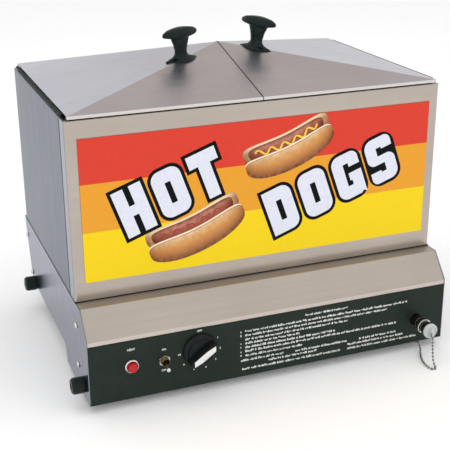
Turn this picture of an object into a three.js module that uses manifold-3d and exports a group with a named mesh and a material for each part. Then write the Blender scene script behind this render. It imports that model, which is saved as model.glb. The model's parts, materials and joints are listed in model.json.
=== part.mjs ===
// A countertop hot dog steamer: a stainless cabinet with two pyramid lids over a
// low base that holds the water tank, the heater and the controls.
//
// Millimetres. X runs to the right as the user faces the controls, Y to the back, Z up.
// Inside the group, x = 0 is the middle of the cabinet, y = 0 the cabinet's front face
// and z = 0 the counter. The last lines centre the machine on its own outline.

import * as THREE from "three";
import Module from "manifold-3d";
import { mergeVertices } from "three/addons/utils/BufferGeometryUtils.js";

const wasm = await Module();
wasm.setup();

// ---------------------------------------------------------------- driving dimensions

const GAP = 0.3; // air left between pieces that touch
const SHEET = 1.2; // body sheet
const LID_SHEET = 1.0;

const FOOT_HEIGHT = 12.5;
const HALF_WIDTH = 260;
const CABINET_DEPTH = 330;
const BASE_TOP = 137;
const RIM_TOP = 375;

const PANEL_Y = -50; // front of the control panel
const PANEL_TOP = 96;
const SLOPE_BOTTOM = 103;
const SHELF_Y = -21.5; // where the sloping front meets the shelf
const RAISED_EDGE = 38; // lower edge of the base behind the front compartment
const STEP_Y = 78; // where that edge steps up
const REAR_TOP_Y = 332; // the base's rear edge leans forward as it goes down
const REAR_BOTTOM_Y = 301;
const REAR_COVER_DEPTH = 14;
const BOTTOM_PAN = { x: 246, y0: PANEL_Y + 3, y1: 299, high: 15 };

const FRONT_WRAP = 25; // how far the front sheet turns along each side
const BEND = 3;
const SIGN = { x0: -245, x1: 246, z0: 162.5, z1: 352, thick: 1 };

const LID_BOTTOM = 377;
const EAVE = 381; // top of the lids' front and back lips
const APEX = 423.5;
const LID_OUTER_X = 255;
const LID_INNER_X = 0.5;
const LID_EDGE_Y = 0.5;
const SPLIT_FLANGE = 7;

const HINGE = { x: 257.6, z: 378.5, radius: 2.2, bore: 1.4, pin: 1.1, y0: 15, y1: 315, knuckles: 5 };
const LEAF = { thick: 1, reach: 240, gap: 0.5, notch: 0.4 };

const LAMP = { x: -202.6, z: 60, hole: 8, bezel: 9.7, lens: 7 };
const TOGGLE = { x: -159, z: 59.6, hole: 6.1, pivotY: -52, tilt: 18 };
const KNOB = { x: -110, z: 65, radius: 23.5, shaft: 3, hole: 5.6, pointer: 35 };
const DRAIN = { x: 216.4, z: 48, radius: 8.5, bore: 6.3, hole: 9.2, end: -79.7, face: -90 };

const TANK = { x: 244, y0: 8, y1: 290, z0: 37, z1: 134, flange: 12, thick: 1 };
const HEATER = { x: 150, z: 62, y0: -8, y1: 240, bow: 35, radius: 4 };
const TRAY = { x0: 6, x1: 250, y0: 18, y1: 312, floor: 158, top: 185, rim: 11, thick: 1 };
const RAIL_TOP = 184.7;

// The room for the frames inside the cabinet, clear of the rounded front corners.
const INNER_Y = [SHEET + GAP + 1, CABINET_DEPTH - SHEET - GAP];

const SCREW = { head: 4.2, rise: 2.2, shank: 1.6, hole: 2, length: 8 };
const SIDE_SCREWS = { upper: [1, 105], lower: [3, 47] }; // y and z of each
const COVER_SCREWS = { upper: 109, lower: 53 }; // z of each, midway across the rear cover
const GLAND = { x: -200, z: 62, hole: 8.3, radius: 7.5, flange: 12 };
const VENT = { slots: 9, pitch: 22, x: -94, wide: 6, z0: 66, z1: 108 };

const SIDE_BUMPER = { radius: 11, length: 17.7, places: { front: [-26, 33], rear: [287, 45] } };
const FOOT = { radius: 11, x: 236, front: 5, rear: 284 };

const HANDLES = {
  left: { x: -70, y: 120, turn: 8 },
  right: { x: 46, y: 135.5, turn: -43 },
};

// ------------------------------------------------------------------------- materials

const steel = (color, roughness = 0.34) =>
  new THREE.MeshStandardMaterial({ color, roughness, metalness: 1 });
const plastic = (color, roughness = 0.5) =>
  new THREE.MeshStandardMaterial({ color, roughness, metalness: 0 });

const MATERIAL = {
  stainless: steel(0xb8aca5),
  stainlessInside: steel(0xa3a4a6, 0.42),
  bright: steel(0xd9d9d6, 0.16),
  panelBlack: plastic(0x2d3230, 0.55),
  phenolic: plastic(0x23282a, 0.32),
  rubber: plastic(0x202321, 0.7),
  signPrint: plastic(0xf5aa3c, 0.3),
  lampRed: plastic(0xc4282a, 0.15),
  brass: steel(0x8f7a4a, 0.3),
  drainDark: steel(0x3f4238, 0.4),
  plugGrey: plastic(0xc9cacb, 0.45),
  heater: steel(0x6d6f70, 0.45),
};

// ---------------------------------------------------------------------- shape helpers

/** A closed three.js geometry as a manifold solid. */
function solid(geometry) {
  const bare = geometry.clone();
  bare.deleteAttribute("normal");
  bare.deleteAttribute("uv");
  const merged = mergeVertices(bare, 1e-4);
  return new wasm.Manifold(new wasm.Mesh({
    numProp: 3,
    vertProperties: new Float32Array(merged.attributes.position.array),
    triVerts: new Uint32Array(merged.index.array),
  }));
}

/** A manifold solid back as a three.js geometry. */
function geometryOf(manifold) {
  const mesh = manifold.getMesh();
  const geometry = new THREE.BufferGeometry();
  geometry.setAttribute("position", new THREE.BufferAttribute(mesh.vertProperties, mesh.numProp));
  geometry.setIndex(new THREE.BufferAttribute(mesh.triVerts, 1));
  return geometry;
}

function join(...geometries) {
  return geometryOf(geometries.map(solid).reduce((whole, next) => whole.add(next)));
}

function cut(geometry, ...tools) {
  return geometryOf(tools.map(solid).reduce((rest, tool) => rest.subtract(tool), solid(geometry)));
}

function box([x0, x1], [y0, y1], [z0, z1]) {
  const geometry = new THREE.BoxGeometry(x1 - x0, y1 - y0, z1 - z0);
  return geometry.translate((x0 + x1) / 2, (y0 + y1) / 2, (z0 + z1) / 2);
}

/** Turns geometry built along local Z so that local Z points along the named axis. */
function alongAxis(geometry, axis) {
  const [x, y, z] = [new THREE.Vector3(1, 0, 0), new THREE.Vector3(0, 1, 0), new THREE.Vector3(0, 0, 1)];
  const basis = {
    x: [y, z, x],
    y: [z, x, y],
    "-y": [x, z, y.clone().negate()],
    z: [x, y, z],
  }[axis];
  return geometry.applyMatrix4(new THREE.Matrix4().makeBasis(...basis));
}

const shapeOf = (points) => new THREE.Shape(points.map(([u, v]) => new THREE.Vector2(u, v)));

const extrude = (shape, depth) => new THREE.ExtrudeGeometry(shape, { depth, bevelEnabled: false });

/** An outline in (y, z) carried from x0 to x1. */
const prismX = (points, x0, x1) => alongAxis(extrude(shapeOf(points), x1 - x0), "x").translate(x0, 0, 0);

/** An outline in (x, z) carried from y0 to y1. */
const prismY = (points, y0, y1) => alongAxis(extrude(shapeOf(points), y1 - y0), "-y").translate(0, y1, 0);

/** An outline in (x, y) carried from z0 to z1. */
const prismZ = (points, z0, z1) => extrude(shapeOf(points), z1 - z0).translate(0, 0, z0);

/** A profile of [radius, height] pairs turned about the named axis, its ends on that axis. */
function turned(profile, axis, segments = 24) {
  const points = profile.map(([radius, height]) => new THREE.Vector2(radius, height));
  const upright = new THREE.LatheGeometry(points, segments).rotateX(Math.PI / 2);
  return alongAxis(upright, axis);
}

/** A plain cylinder of the given radius from `from` along the named axis. */
const rod = (radius, length, axis, [x, y, z], segments = 24) =>
  turned([[0, 0], [radius, 0], [radius, length], [0, length]], axis, segments).translate(x, y, z);

/** The closed outline of a folded sheet: a path and the same path moved to its left. */
function foldedSheet(path, thickness) {
  const points = path.map(([u, v]) => new THREE.Vector2(u, v));
  const inner = points.map((point, i) => {
    const before = i > 0 ? point.clone().sub(points[i - 1]).normalize() : null;
    const after = i < points.length - 1 ? points[i + 1].clone().sub(point).normalize() : null;
    const along = (before ?? after).clone().add(after ?? before).normalize();
    const left = new THREE.Vector2(-along.y, along.x);
    const edge = before ?? after;
    const miter = thickness / left.dot(new THREE.Vector2(-edge.y, edge.x));
    return point.clone().addScaledVector(left, miter);
  });
  return [...points, ...inner.reverse()].map((point) => [point.x, point.y]);
}

/** A closed body from its corners and its flat faces, each listed counter-clockwise. */
function polyhedron(corners, faces) {
  const geometry = new THREE.BufferGeometry();
  geometry.setAttribute("position", new THREE.Float32BufferAttribute(corners.flat(), 3));
  geometry.setIndex(faces.flatMap(([first, ...rest]) =>
    rest.slice(1).flatMap((corner, i) => [first, rest[i], corner])));
  return geometry;
}

/** A round tube along a curve. */
function tube(curve, radius, steps) {
  const section = new THREE.Shape();
  section.absarc(0, 0, radius, 0, Math.PI * 2);
  const eightSides = { curveSegments: 4, bevelEnabled: false };
  return new THREE.ExtrudeGeometry(section, { steps, extrudePath: curve, ...eightSides });
}

const part = new THREE.Group();
part.name = "hot_dog_steamer";

const machine = new THREE.Group();
part.add(machine);

function add(name, geometry, material, parent = machine) {
  const mesh = new THREE.Mesh(geometry, material);
  mesh.name = name;
  parent.add(mesh);
  return mesh;
}

// ------------------------------------------------------------------------------- base

/** A hole for a side screw, drilled through one side sheet at (y, z). */
const sideHole = (side, y, z) => rod(SCREW.hole, 6, "x", [side * HALF_WIDTH - 3, y, z], 12);

const REAR_LEAN = (REAR_TOP_Y - REAR_BOTTOM_Y) / (BASE_TOP - RAISED_EDGE);

/** Where the rear cover's front edge stands at height z. */
const coverFront = (z) => REAR_BOTTOM_Y + 2 * GAP + (z - RAISED_EDGE) * REAR_LEAN;

/** The rear cover's leaning outline, trimmed by `inset` on every side but the front. */
function rearCoverOutline(inset, front) {
  const [top, bottom] = [BASE_TOP - GAP - inset, RAISED_EDGE + inset];
  const back = REAR_COVER_DEPTH - inset;
  return [
    [coverFront(bottom) + front, bottom], [coverFront(bottom) + back, bottom],
    [coverFront(top) + back, top], [coverFront(top) + front, top],
  ];
}

function addBaseShell() {
  const inner = HALF_WIDTH - SHEET - GAP;
  const consolePath = [
    [14, BASE_TOP], [SHELF_Y, BASE_TOP], [PANEL_Y, SLOPE_BOTTOM],
    [PANEL_Y, PANEL_TOP + GAP], [PANEL_Y + 8, PANEL_TOP + GAP],
  ];
  add("base_console", prismX(foldedSheet(consolePath, SHEET), -inner, inner), MATERIAL.stainless);

  const sideOutline = [
    [PANEL_Y - 0.4, FOOT_HEIGHT], [STEP_Y, FOOT_HEIGHT], [STEP_Y + 6, RAISED_EDGE],
    [REAR_BOTTOM_Y, RAISED_EDGE], [REAR_TOP_Y, BASE_TOP],
    [SHELF_Y - 0.3, BASE_TOP], [PANEL_Y - 0.4, SLOPE_BOTTOM + 0.3],
  ];
  for (const [name, side] of [["left", -1], ["right", 1]]) {
    const [x0, x1] = side < 0 ? [-HALF_WIDTH, SHEET - HALF_WIDTH] : [HALF_WIDTH - SHEET, HALF_WIDTH];
    const holes = Object.values(SIDE_SCREWS).map(([y, z]) => sideHole(side, y, z));
    add(`base_${name}_panel`, cut(prismX(sideOutline, x0, x1), ...holes), MATERIAL.stainless);
  }

  const coverOuter = prismX(rearCoverOutline(0, 0), -HALF_WIDTH, HALF_WIDTH);
  const coverHollow = prismX(rearCoverOutline(SHEET, -1), SHEET - HALF_WIDTH, HALF_WIDTH - SHEET);
  const tabY = [REAR_BOTTOM_Y + 9, REAR_BOTTOM_Y + 10.5];
  const tabs = [-255, 255].map((x) => box([x - 5, x + 5], tabY, [26, RAISED_EDGE + 1]));
  const cover = join(cut(coverOuter, coverHollow), ...tabs);
  const coverHoles = [-1, 1].flatMap((side) =>
    Object.values(COVER_SCREWS).map((z) => sideHole(side, coverScrewY(z), z)));
  const slots = Array.from({ length: VENT.slots }, (_, i) => {
    const left = VENT.x + VENT.pitch * i;
    return box([left, left + VENT.wide], [300, 360], [VENT.z0, VENT.z1]);
  });
  const cordHole = rod(GLAND.hole, 60, "y", [GLAND.x, 300, GLAND.z], 16);
  add("base_rear_cover", cut(cover, ...coverHoles, ...slots, cordHole), MATERIAL.stainless);

  const { x, y0, y1, high } = BOTTOM_PAN;
  const pan = cut(
    box([-x, x], [y0, y1], [FOOT_HEIGHT, FOOT_HEIGHT + high]),
    box([SHEET - x, x - SHEET], [y0 + SHEET, y1 - SHEET], [FOOT_HEIGHT + SHEET, FOOT_HEIGHT + high + 5]),
  );
  add("base_bottom_cover", pan, MATERIAL.stainlessInside);
}

const coverScrewY = (z) => coverFront(z) + REAR_COVER_DEPTH / 2;

/** The moulded bush for the supply cord, capped, square to the leaning rear cover. */
function addCordGland() {
  const { radius, flange } = GLAND;
  const profile = [
    [0, -8], [radius, -8], [radius, GAP], [flange, GAP], [flange, 4], [flange - 2.5, 6],
    [flange - 3.5, 14], [4.5, 14], [4.5, 11], [0, 11],
  ];
  const gland = turned(profile, "y", 16).rotateX(-Math.atan(REAR_LEAN));
  const face = coverFront(GLAND.z) + REAR_COVER_DEPTH;
  add("cord_gland", gland.translate(GLAND.x, face, GLAND.z), MATERIAL.rubber);
}

/** A pan-head screw whose head stands on a side sheet; it points into the machine. */
function addSideScrew(name, side, y, z) {
  const profile = [
    [0, -SCREW.length], [SCREW.shank, -SCREW.length], [SCREW.shank, GAP], [SCREW.head, GAP],
    [SCREW.head, 1.1 + GAP], [SCREW.head * 0.7, SCREW.rise + GAP], [0, SCREW.rise + GAP + 0.3],
  ];
  const slot = box([SCREW.rise - 0.6, SCREW.rise + 2], [-3, 3], [-0.5, 0.5]);
  const upright = cut(turned(profile, "x", 10), slot);
  if (side < 0) upright.rotateZ(Math.PI);
  add(name, upright.translate(side * HALF_WIDTH, y, z), MATERIAL.bright);
}

function addSideScrews() {
  for (const [name, side] of [["left", -1], ["right", 1]]) {
    for (const [level, [y, z]] of Object.entries(SIDE_SCREWS)) {
      addSideScrew(`base_${name}_${level}_screw`, side, y, z);
    }
    for (const [level, z] of Object.entries(COVER_SCREWS)) {
      addSideScrew(`rear_cover_${name}_${level}_screw`, side, coverScrewY(z), z);
    }
  }
}

/** A moulded rubber foot, its flat seat at height 0 and its free end at `length`. */
const rubberFoot = (radius, length, axis) => turned([
  [0, 0], [radius, 0], [radius, length - 3.5], [radius - 2, length],
  [4, length], [4, length - 5], [0, length - 5],
], axis, 16);

function addFeet() {
  for (const [side, x] of [["left", -FOOT.x], ["right", FOOT.x]]) {
    for (const end of ["front", "rear"]) {
      const foot = rubberFoot(FOOT.radius, FOOT_HEIGHT - GAP, "z").rotateX(Math.PI);
      add(`foot_${end}_${side}`, foot.translate(x, FOOT[end], FOOT_HEIGHT - GAP), MATERIAL.rubber);
    }
  }
  for (const [end, [y, z]] of Object.entries(SIDE_BUMPER.places)) {
    const bumper = rubberFoot(SIDE_BUMPER.radius, SIDE_BUMPER.length, "x").rotateZ(Math.PI);
    add(`side_bumper_${end}`, bumper.translate(-HALF_WIDTH - GAP, y, z), MATERIAL.rubber);
  }
}

// --------------------------------------------------------------------------- controls

function addControlPanel() {
  const through = (feature) => rod(feature.hole, 10, "y", [feature.x, PANEL_Y - 4, feature.z]);
  const panel = box(
    [-HALF_WIDTH + SHEET + GAP, HALF_WIDTH - SHEET - GAP],
    [PANEL_Y, PANEL_Y + 1.5],
    [FOOT_HEIGHT, PANEL_TOP],
  );
  const drilled = cut(panel, through(LAMP), through(TOGGLE), through(KNOB), through(DRAIN));
  add("control_panel", drilled, MATERIAL.panelBlack);
}

function addPilotLamp() {
  const front = PANEL_Y - GAP;
  const bezel = [
    [0, -22], [LAMP.hole - GAP, -22], [LAMP.hole - GAP, 0], [LAMP.bezel, 0], [LAMP.bezel, 1.2],
    [LAMP.bezel - 1, 3.2], [LAMP.lens + 0.6, 4.4], [LAMP.lens + GAP, 4], [LAMP.lens + GAP, -4], [0, -4],
  ];
  add("pilot_lamp_bezel", lampPiece(bezel, front), MATERIAL.bright);
  const lens = [
    [0, -4 + GAP], [LAMP.lens, -4 + GAP], [LAMP.lens, 5.2], [LAMP.lens * 0.88, 7],
    [LAMP.lens * 0.55, 8.4], [0, 9],
  ];
  add("pilot_lamp_lens", lampPiece(lens, front), MATERIAL.lampRed);
}

const lampPiece = (profile, front) => turned(profile, "-y", 20).translate(LAMP.x, front, LAMP.z);

function addToggleSwitch() {
  const { x, z, tilt, pivotY } = TOGGLE;
  const bushing = [[0, 0], [5.8, 0], [5.8, 13.5], [4.4, 13.5], [3.1, 10], [0, 7]];
  const back = PANEL_Y + 1.5 + 4;
  const body = join(
    box([x - 6.5, x + 6.5], [back - GAP, back + 20], [z - 14, z + 14]),
    turned(bushing, "-y", 24).translate(x, back, z),
  );
  const leverSpace = rod(3.1, 6, "-y", [x, back - 5, z], 16);
  add("toggle_switch_body", cut(body, leverSpace), MATERIAL.brass);

  const hexagon = Array.from({ length: 6 }, (_, i) => {
    const angle = (i + 0.5) * Math.PI / 3;
    return [x + 8 * Math.cos(angle), z + 8 * Math.sin(angle)];
  });
  const nut = cut(
    prismY(hexagon, PANEL_Y - 2.8, PANEL_Y - GAP),
    rod(5.8 + GAP, 6, "-y", [x, PANEL_Y + 1, z]),
  );
  add("toggle_nut", nut, MATERIAL.bright);

  const bat = [
    [0, -1.5], [1.5, -1.5], [1.5, 3], [1.6, 5], [2.6, 14], [2.9, 16.5], [2.3, 18.3], [0, 19],
  ];
  const lever = turned(bat, "-y", 16).rotateX(THREE.MathUtils.degToRad(tilt));
  add("toggle_lever", lever.translate(x, pivotY, z), MATERIAL.bright);
}

function addThermostat() {
  const { x, z, shaft, radius, pointer } = KNOB;
  const back = PANEL_Y + 1.5 + GAP;
  const body = join(
    box([x - 18, x + 18], [back, back + 34], [z - 16, z + 16]),
    rod(KNOB.hole - GAP, 4, "-y", [x, back + 1, z], 20),
    rod(shaft, 18, "-y", [x, back + 1, z], 16),
  );
  add("thermostat_body", body, MATERIAL.bright);

  const skirt = [
    [0, 0], [radius, 0], [radius, 2.2], [radius - 1, 3.6], [radius - 4.5, 5], [radius - 6, 9], [0, 9],
  ];
  const barHalf = { long: 21.5, wide: 6 };
  const bar = prismY([
    [-barHalf.long + 3, -barHalf.wide], [barHalf.long - 4, -barHalf.wide], [barHalf.long, -2.4],
    [barHalf.long, 2.4], [barHalf.long - 4, barHalf.wide], [-barHalf.long + 3, barHalf.wide],
    [-barHalf.long, barHalf.wide - 3], [-barHalf.long, 3 - barHalf.wide],
  ], -21, -4);
  const knob = join(turned(skirt, "-y", 40), bar).rotateY(-THREE.MathUtils.degToRad(pointer));
  const bore = rod(shaft + GAP, 17, "-y", [0, 1, 0], 16);
  const hollow = rod(8, 4, "-y", [0, 1, 0], 20);
  add("thermostat_knob", cut(knob, bore, hollow).translate(x, PANEL_Y - 0.8, z), MATERIAL.phenolic);
}

// ------------------------------------------------------------------------------ drain

/** The ball chain's route from the plug's eye to the lug under the base, chosen by hand. */
const CHAIN_ROUTE = [
  [216.2, -95.5, 41.6], [216.2, -95.9, 37.2], [216.3, -96.3, 32.8], [216.4, -96.7, 28.4],
  [216.5, -97.1, 24.0], [216.6, -97.6, 19.6], [216.7, -98.2, 15.2], [216.8, -99.0, 11.0],
  [216.8, -100.4, 7.2], [216.6, -102.8, 4.2], [216.1, -106.2, 2.5], [214.9, -109.8, 1.9],
  [212.2, -112.2, 1.9], [209.0, -111.6, 1.9], [207.0, -108.4, 1.9], [206.2, -104.0, 1.9],
  [206.1, -99.4, 1.9], [206.6, -94.8, 1.9], [207.5, -90.2, 1.9], [208.7, -85.7, 1.9],
  [210.2, -81.2, 1.9], [211.9, -76.8, 1.9], [213.9, -72.5, 2.1], [216.0, -68.4, 2.5],
  [218.2, -64.4, 3.1], [220.4, -60.5, 4.0], [222.4, -56.5, 5.2], [223.9, -52.5, 6.6],
  [224.8, -49.0, 7.9], [225.0, -46.9, 8.6],
];
const CHAIN_RADIUS = 1.6;
const LUG = { x: 225, hole: 1.7, holeY: -42, holeZ: 8.6 };

function addDrain() {
  const { x, z, radius, bore, end, face } = DRAIN;
  const pipe = turned([
    [bore, end], [radius, end], [radius, TANK.y0 + 6], [bore, TANK.y0 + 6], [bore, end],
  ], "y", 24).translate(x, 0, z);
  add("drain_pipe", pipe, MATERIAL.drainDark);

  const ring = (inside, outside, y0, y1) => turned([
    [inside, y0], [outside - 0.6, y0], [outside, y0 + 0.6], [outside, y1 - 0.6],
    [outside - 0.6, y1], [inside, y1], [inside, y0],
  ], "y", 24).translate(x, 0, z);
  add("drain_collar", ring(radius + GAP, radius + 2, end + 6, end + 10), MATERIAL.bright);

  const plug = turned([
    [0, face], [9.6, face], [10.5, face + 1.5], [10.5, end - 1.4], [10, end - GAP],
    [bore - GAP, end - GAP], [bore - GAP, end + GAP + 4], [bore - 1, face + 32], [0, face + 32],
  ], "y", 24).translate(x, 0, z);
  const eyePlate = prismX([
    [face - 7, z - 6], [face + 1, z - 4.5], [face + 1, z + 4.5], [face - 4, z + 4.5],
    [face - 7, z + 1],
  ], x - 1.2, x + 1.2);
  const eyeHole = rod(1.7, 6, "x", [x - 3, face - 3.8, z - 2.2], 12);
  add("drain_plug", cut(join(plug, eyePlate), eyeHole), MATERIAL.plugGrey);

  const route = new THREE.CatmullRomCurve3(CHAIN_ROUTE.map((point) => new THREE.Vector3(...point)));
  add("drain_chain", tube(route, CHAIN_RADIUS, CHAIN_ROUTE.length), MATERIAL.bright);

  const lugTop = FOOT_HEIGHT - GAP;
  const tab = cut(
    box([LUG.x - 0.8, LUG.x + 0.8], [-45.6, -37], [5.4, lugTop]),
    rod(LUG.hole, 6, "x", [LUG.x - 3, LUG.holeY, LUG.holeZ], 12),
  );
  const foot = box([LUG.x - 5, LUG.x + 5], [-45.6, -37], [lugTop - 1.2, lugTop]);
  add("chain_lug", join(tab, foot), MATERIAL.bright);
}

// ----------------------------------------------------------------- water and trays

/** An open-topped pan with an outward rim, its outside given by x, y and z ranges. */
function rimmedPan([x0, x1], [y0, y1], [z0, z1], rim, thick) {
  const body = box([x0, x1], [y0, y1], [z0, z1 + thick]);
  const lip = box([x0 - rim.x, x1 + rim.x], [y0 - rim.y, y1 + rim.y], [z1, z1 + thick]);
  const hollow = box([x0 + thick, x1 - thick], [y0 + thick, y1 - thick], [z0 + thick, z1 + 5]);
  return cut(join(body, lip), hollow);
}

function addTank() {
  const { x, y0, y1, z0, z1, flange, thick } = TANK;
  const tank = rimmedPan([-x, x], [y0, y1], [z0, z1], { x: flange, y: 3 }, thick);
  const ports = [
    rod(DRAIN.radius + GAP, 20, "y", [DRAIN.x, y0 - 10, DRAIN.z]),
    ...[-1, 1].map((side) => rod(HEATER.radius + GAP, 20, "y", [side * HEATER.x, y0 - 10, HEATER.z], 16)),
  ];
  add("water_tank", cut(tank, ...ports), MATERIAL.stainlessInside);
}

/** A flat hairpin: back along one side, round a flattened half circle and forward again. */
class Hairpin extends THREE.Curve {
  getPoint(t) {
    const { x, y0, y1, bow, z } = HEATER;
    const leg = y1 - y0;
    const walked = t * (2 * leg + Math.PI * x);
    if (walked <= leg) return new THREE.Vector3(-x, y0 + walked, z);
    if (walked >= leg + Math.PI * x) return new THREE.Vector3(x, y1 - (walked - leg - Math.PI * x), z);
    const angle = Math.PI - (walked - leg) / x;
    return new THREE.Vector3(x * Math.cos(angle), y1 + bow * Math.sin(angle), z);
  }
}

function addHeater() {
  add("heating_element", tube(new Hairpin(), HEATER.radius, 48), MATERIAL.heater);
}

function addTrays() {
  const { x0, x1, y0, y1, floor, top, rim, thick } = TRAY;
  const inside = HALF_WIDTH - SHEET - GAP;
  const frame = cut(
    box([-inside, inside], INNER_Y, [RAIL_TOP - 12, RAIL_TOP]),
    box([-inside + SHEET, inside - SHEET], [INNER_Y[0] + SHEET, INNER_Y[1] - SHEET],
      [RAIL_TOP - 20, RAIL_TOP - SHEET]),
    box([-x1 - 4, -3], [y0 - 6, y1 + 6], [RAIL_TOP - 20, RAIL_TOP + 1]),
    box([3, x1 + 4], [y0 - 6, y1 + 6], [RAIL_TOP - 20, RAIL_TOP + 1]),
  );
  add("tray_support_frame", frame, MATERIAL.stainlessInside);

  for (const [name, side] of [["hot_dog_tray", -1], ["bun_tray", 1]]) {
    const [a, b] = side < 0 ? [-x1, -x0] : [x0, x1];
    const pan = rimmedPan([a, b], [y0, y1], [floor, top], { x: 2.5, y: rim }, thick);
    const slots = [0, 1, 2, 3, 4].flatMap((row) => [0, 1, 2].map((column) => {
      const [sx, sy] = [a + 26 + 68 * column, y0 + 32 + 54 * row];
      return box([sx, sx + 56], [sy, sy + 8], [floor - 2, floor + 3]);
    }));
    add(name, cut(pan, ...slots), MATERIAL.stainlessInside);
  }
}

// ---------------------------------------------------------------------------- cabinet

/** A quarter bend from one heading to the next, as points on an arc. */
const bend = (cx, cy, radius, from, to) => Array.from({ length: 5 }, (_, i) => {
  const angle = THREE.MathUtils.degToRad(from + (to - from) * i / 4);
  return [cx + radius * Math.cos(angle), cy + radius * Math.sin(angle)];
});

function addCabinet() {
  const [bottom, top] = [BASE_TOP + 2 * GAP, RIM_TOP];
  const wrap = (half, front, radius) => [
    [-half, FRONT_WRAP],
    ...bend(-half + radius, front + radius, radius, 180, 270),
    ...bend(half - radius, front + radius, radius, 270, 360),
    [half, FRONT_WRAP],
  ];
  const outside = wrap(HALF_WIDTH, 0, BEND);
  const inside = wrap(HALF_WIDTH - SHEET, SHEET, BEND - SHEET);
  const frontOutline = [...outside, ...inside.reverse()];
  add("cabinet_front_panel", prismZ(frontOutline, bottom, top), MATERIAL.stainless);

  const sideY = [FRONT_WRAP + 0.6, CABINET_DEPTH];
  const leftX = [-HALF_WIDTH, SHEET - HALF_WIDTH], rightX = [HALF_WIDTH - SHEET, HALF_WIDTH];
  add("cabinet_left_panel", box(leftX, sideY, [bottom, top]), MATERIAL.stainless);
  add("cabinet_right_panel", box(rightX, sideY, [bottom, top]), MATERIAL.stainless);

  const inner = HALF_WIDTH - SHEET - GAP;
  const backY = [CABINET_DEPTH - SHEET, CABINET_DEPTH];
  add("cabinet_back_panel", box([-inner, inner], backY, [bottom, top]), MATERIAL.stainless);

  const rim = 14;
  const [y0, y1] = INNER_Y;
  const frame = cut(
    box([-inner, inner], INNER_Y, [top - 11, top]),
    box([-inner + SHEET, inner - SHEET], [y0 + SHEET, y1 - SHEET], [top - 20, top - SHEET]),
    box([-inner + rim, inner - rim], [y0 + rim, y1 - rim], [top - 20, top + 1]),
  );
  add("cabinet_top_frame", frame, MATERIAL.stainlessInside);

  add("center_divider", box([-0.6, 0.6], [SHEET + 3, CABINET_DEPTH - SHEET - 3], [RAIL_TOP + 4, top - 12]),
    MATERIAL.stainlessInside);

  const sign = box([SIGN.x0, SIGN.x1], [-GAP - SIGN.thick, -GAP], [SIGN.z0, SIGN.z1]);
  add("sign_panel", sign, MATERIAL.signPrint);

  for (const [name, x] of [["left", -83], ["center", 0], ["right", 83]]) {
    const pad = rod(3.5, LID_BOTTOM - RIM_TOP - 2 * GAP, "z", [x, 4.3, RIM_TOP + GAP], 16);
    add(`lid_rest_${name}`, pad, MATERIAL.rubber);
  }
}

// ------------------------------------------------------------------------------- lids

/** Half of a low pyramid with short vertical lips, for the left lid, inset by `inset`. */
function halfPyramid(inset) {
  const slopeX = (APEX - EAVE) / LID_OUTER_X;
  const slopeY = (APEX - EAVE) / (CABINET_DEPTH / 2 - LID_EDGE_Y);
  const [outer, split] = [-LID_OUTER_X + inset, -LID_INNER_X - inset];
  const [front, back] = [LID_EDGE_Y + inset, CABINET_DEPTH - LID_EDGE_Y - inset];
  const middle = CABINET_DEPTH / 2;
  const drop = inset * Math.hypot(1, slopeY);
  const eave = EAVE - drop + inset * slopeY;
  const apex = APEX - drop - LID_INNER_X * slopeX;
  const bottom = LID_BOTTOM - (inset > 0 ? 5 : 0);
  const corners = [
    [outer, front, bottom], [split, front, bottom], [split, back, bottom], [outer, back, bottom],
    [outer, front, eave], [split, front, eave], [split, back, eave], [outer, back, eave],
    [split, middle, apex],
  ];
  const faces = [
    [0, 3, 2, 1], [0, 1, 5, 4], [2, 3, 7, 6], [3, 0, 4, 7], [1, 2, 6, 8, 5],
    [4, 5, 8], [6, 7, 8], [7, 4, 8],
  ];
  return polyhedron(corners, faces);
}

/** The left lid's folded sheet, with the stiffening flange along the split. */
function lidShell() {
  const shell = cut(halfPyramid(0), halfPyramid(LID_SHEET));
  const middle = CABINET_DEPTH / 2;
  const slopeY = (APEX - EAVE) / (middle - LID_EDGE_Y);
  const below = [
    [LID_EDGE_Y + SPLIT_FLANGE, LID_BOTTOM - 1],
    [LID_EDGE_Y + SPLIT_FLANGE, EAVE],
    [middle, APEX - SPLIT_FLANGE],
    [CABINET_DEPTH - LID_EDGE_Y - SPLIT_FLANGE, EAVE],
    [CABINET_DEPTH - LID_EDGE_Y - SPLIT_FLANGE, LID_BOTTOM - 1],
  ].reverse();
  const underSplit = prismX(below, -LID_INNER_X - LID_SHEET - 1, 1);
  const hingeSide = box([-LID_OUTER_X - 1, -LID_OUTER_X + LID_SHEET + 0.5],
    [LID_EDGE_Y + 6, CABINET_DEPTH - LID_EDGE_Y - 6], [LID_BOTTOM - 1, EAVE - 0.75]);
  return cut(shell, underSplit, hingeSide);
}

/** The direction out of the roof on a front hip, halfway between its two facets. */
function hipNormal(side) {
  const leanX = (APEX - EAVE) / LID_OUTER_X / 2;
  const leanY = (APEX - EAVE) / (CABINET_DEPTH / 2 - LID_EDGE_Y) / 2;
  return new THREE.Vector3(side * leanX, -leanY, 1).normalize();
}

/** Height of the roof's outside at (x, y) on its front half. */
function roofHeight(x, y) {
  const fromSide = EAVE + (LID_OUTER_X - Math.abs(x)) * (APEX - EAVE) / LID_OUTER_X;
  const fromFront = EAVE + (y - LID_EDGE_Y) * (APEX - EAVE) / (CABINET_DEPTH / 2 - LID_EDGE_Y);
  return Math.min(fromSide, fromFront);
}

/** Places geometry built on local Z on the roof, standing along the hip's normal. */
function onHip(geometry, side, { x, y, turn }) {
  const upright = new THREE.Vector3(0, 0, 1);
  const lean = new THREE.Quaternion().setFromUnitVectors(upright, hipNormal(side));
  geometry.rotateZ(THREE.MathUtils.degToRad(turn)).applyQuaternion(lean);
  return geometry.translate(x, y, roofHeight(x, y));
}

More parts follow.
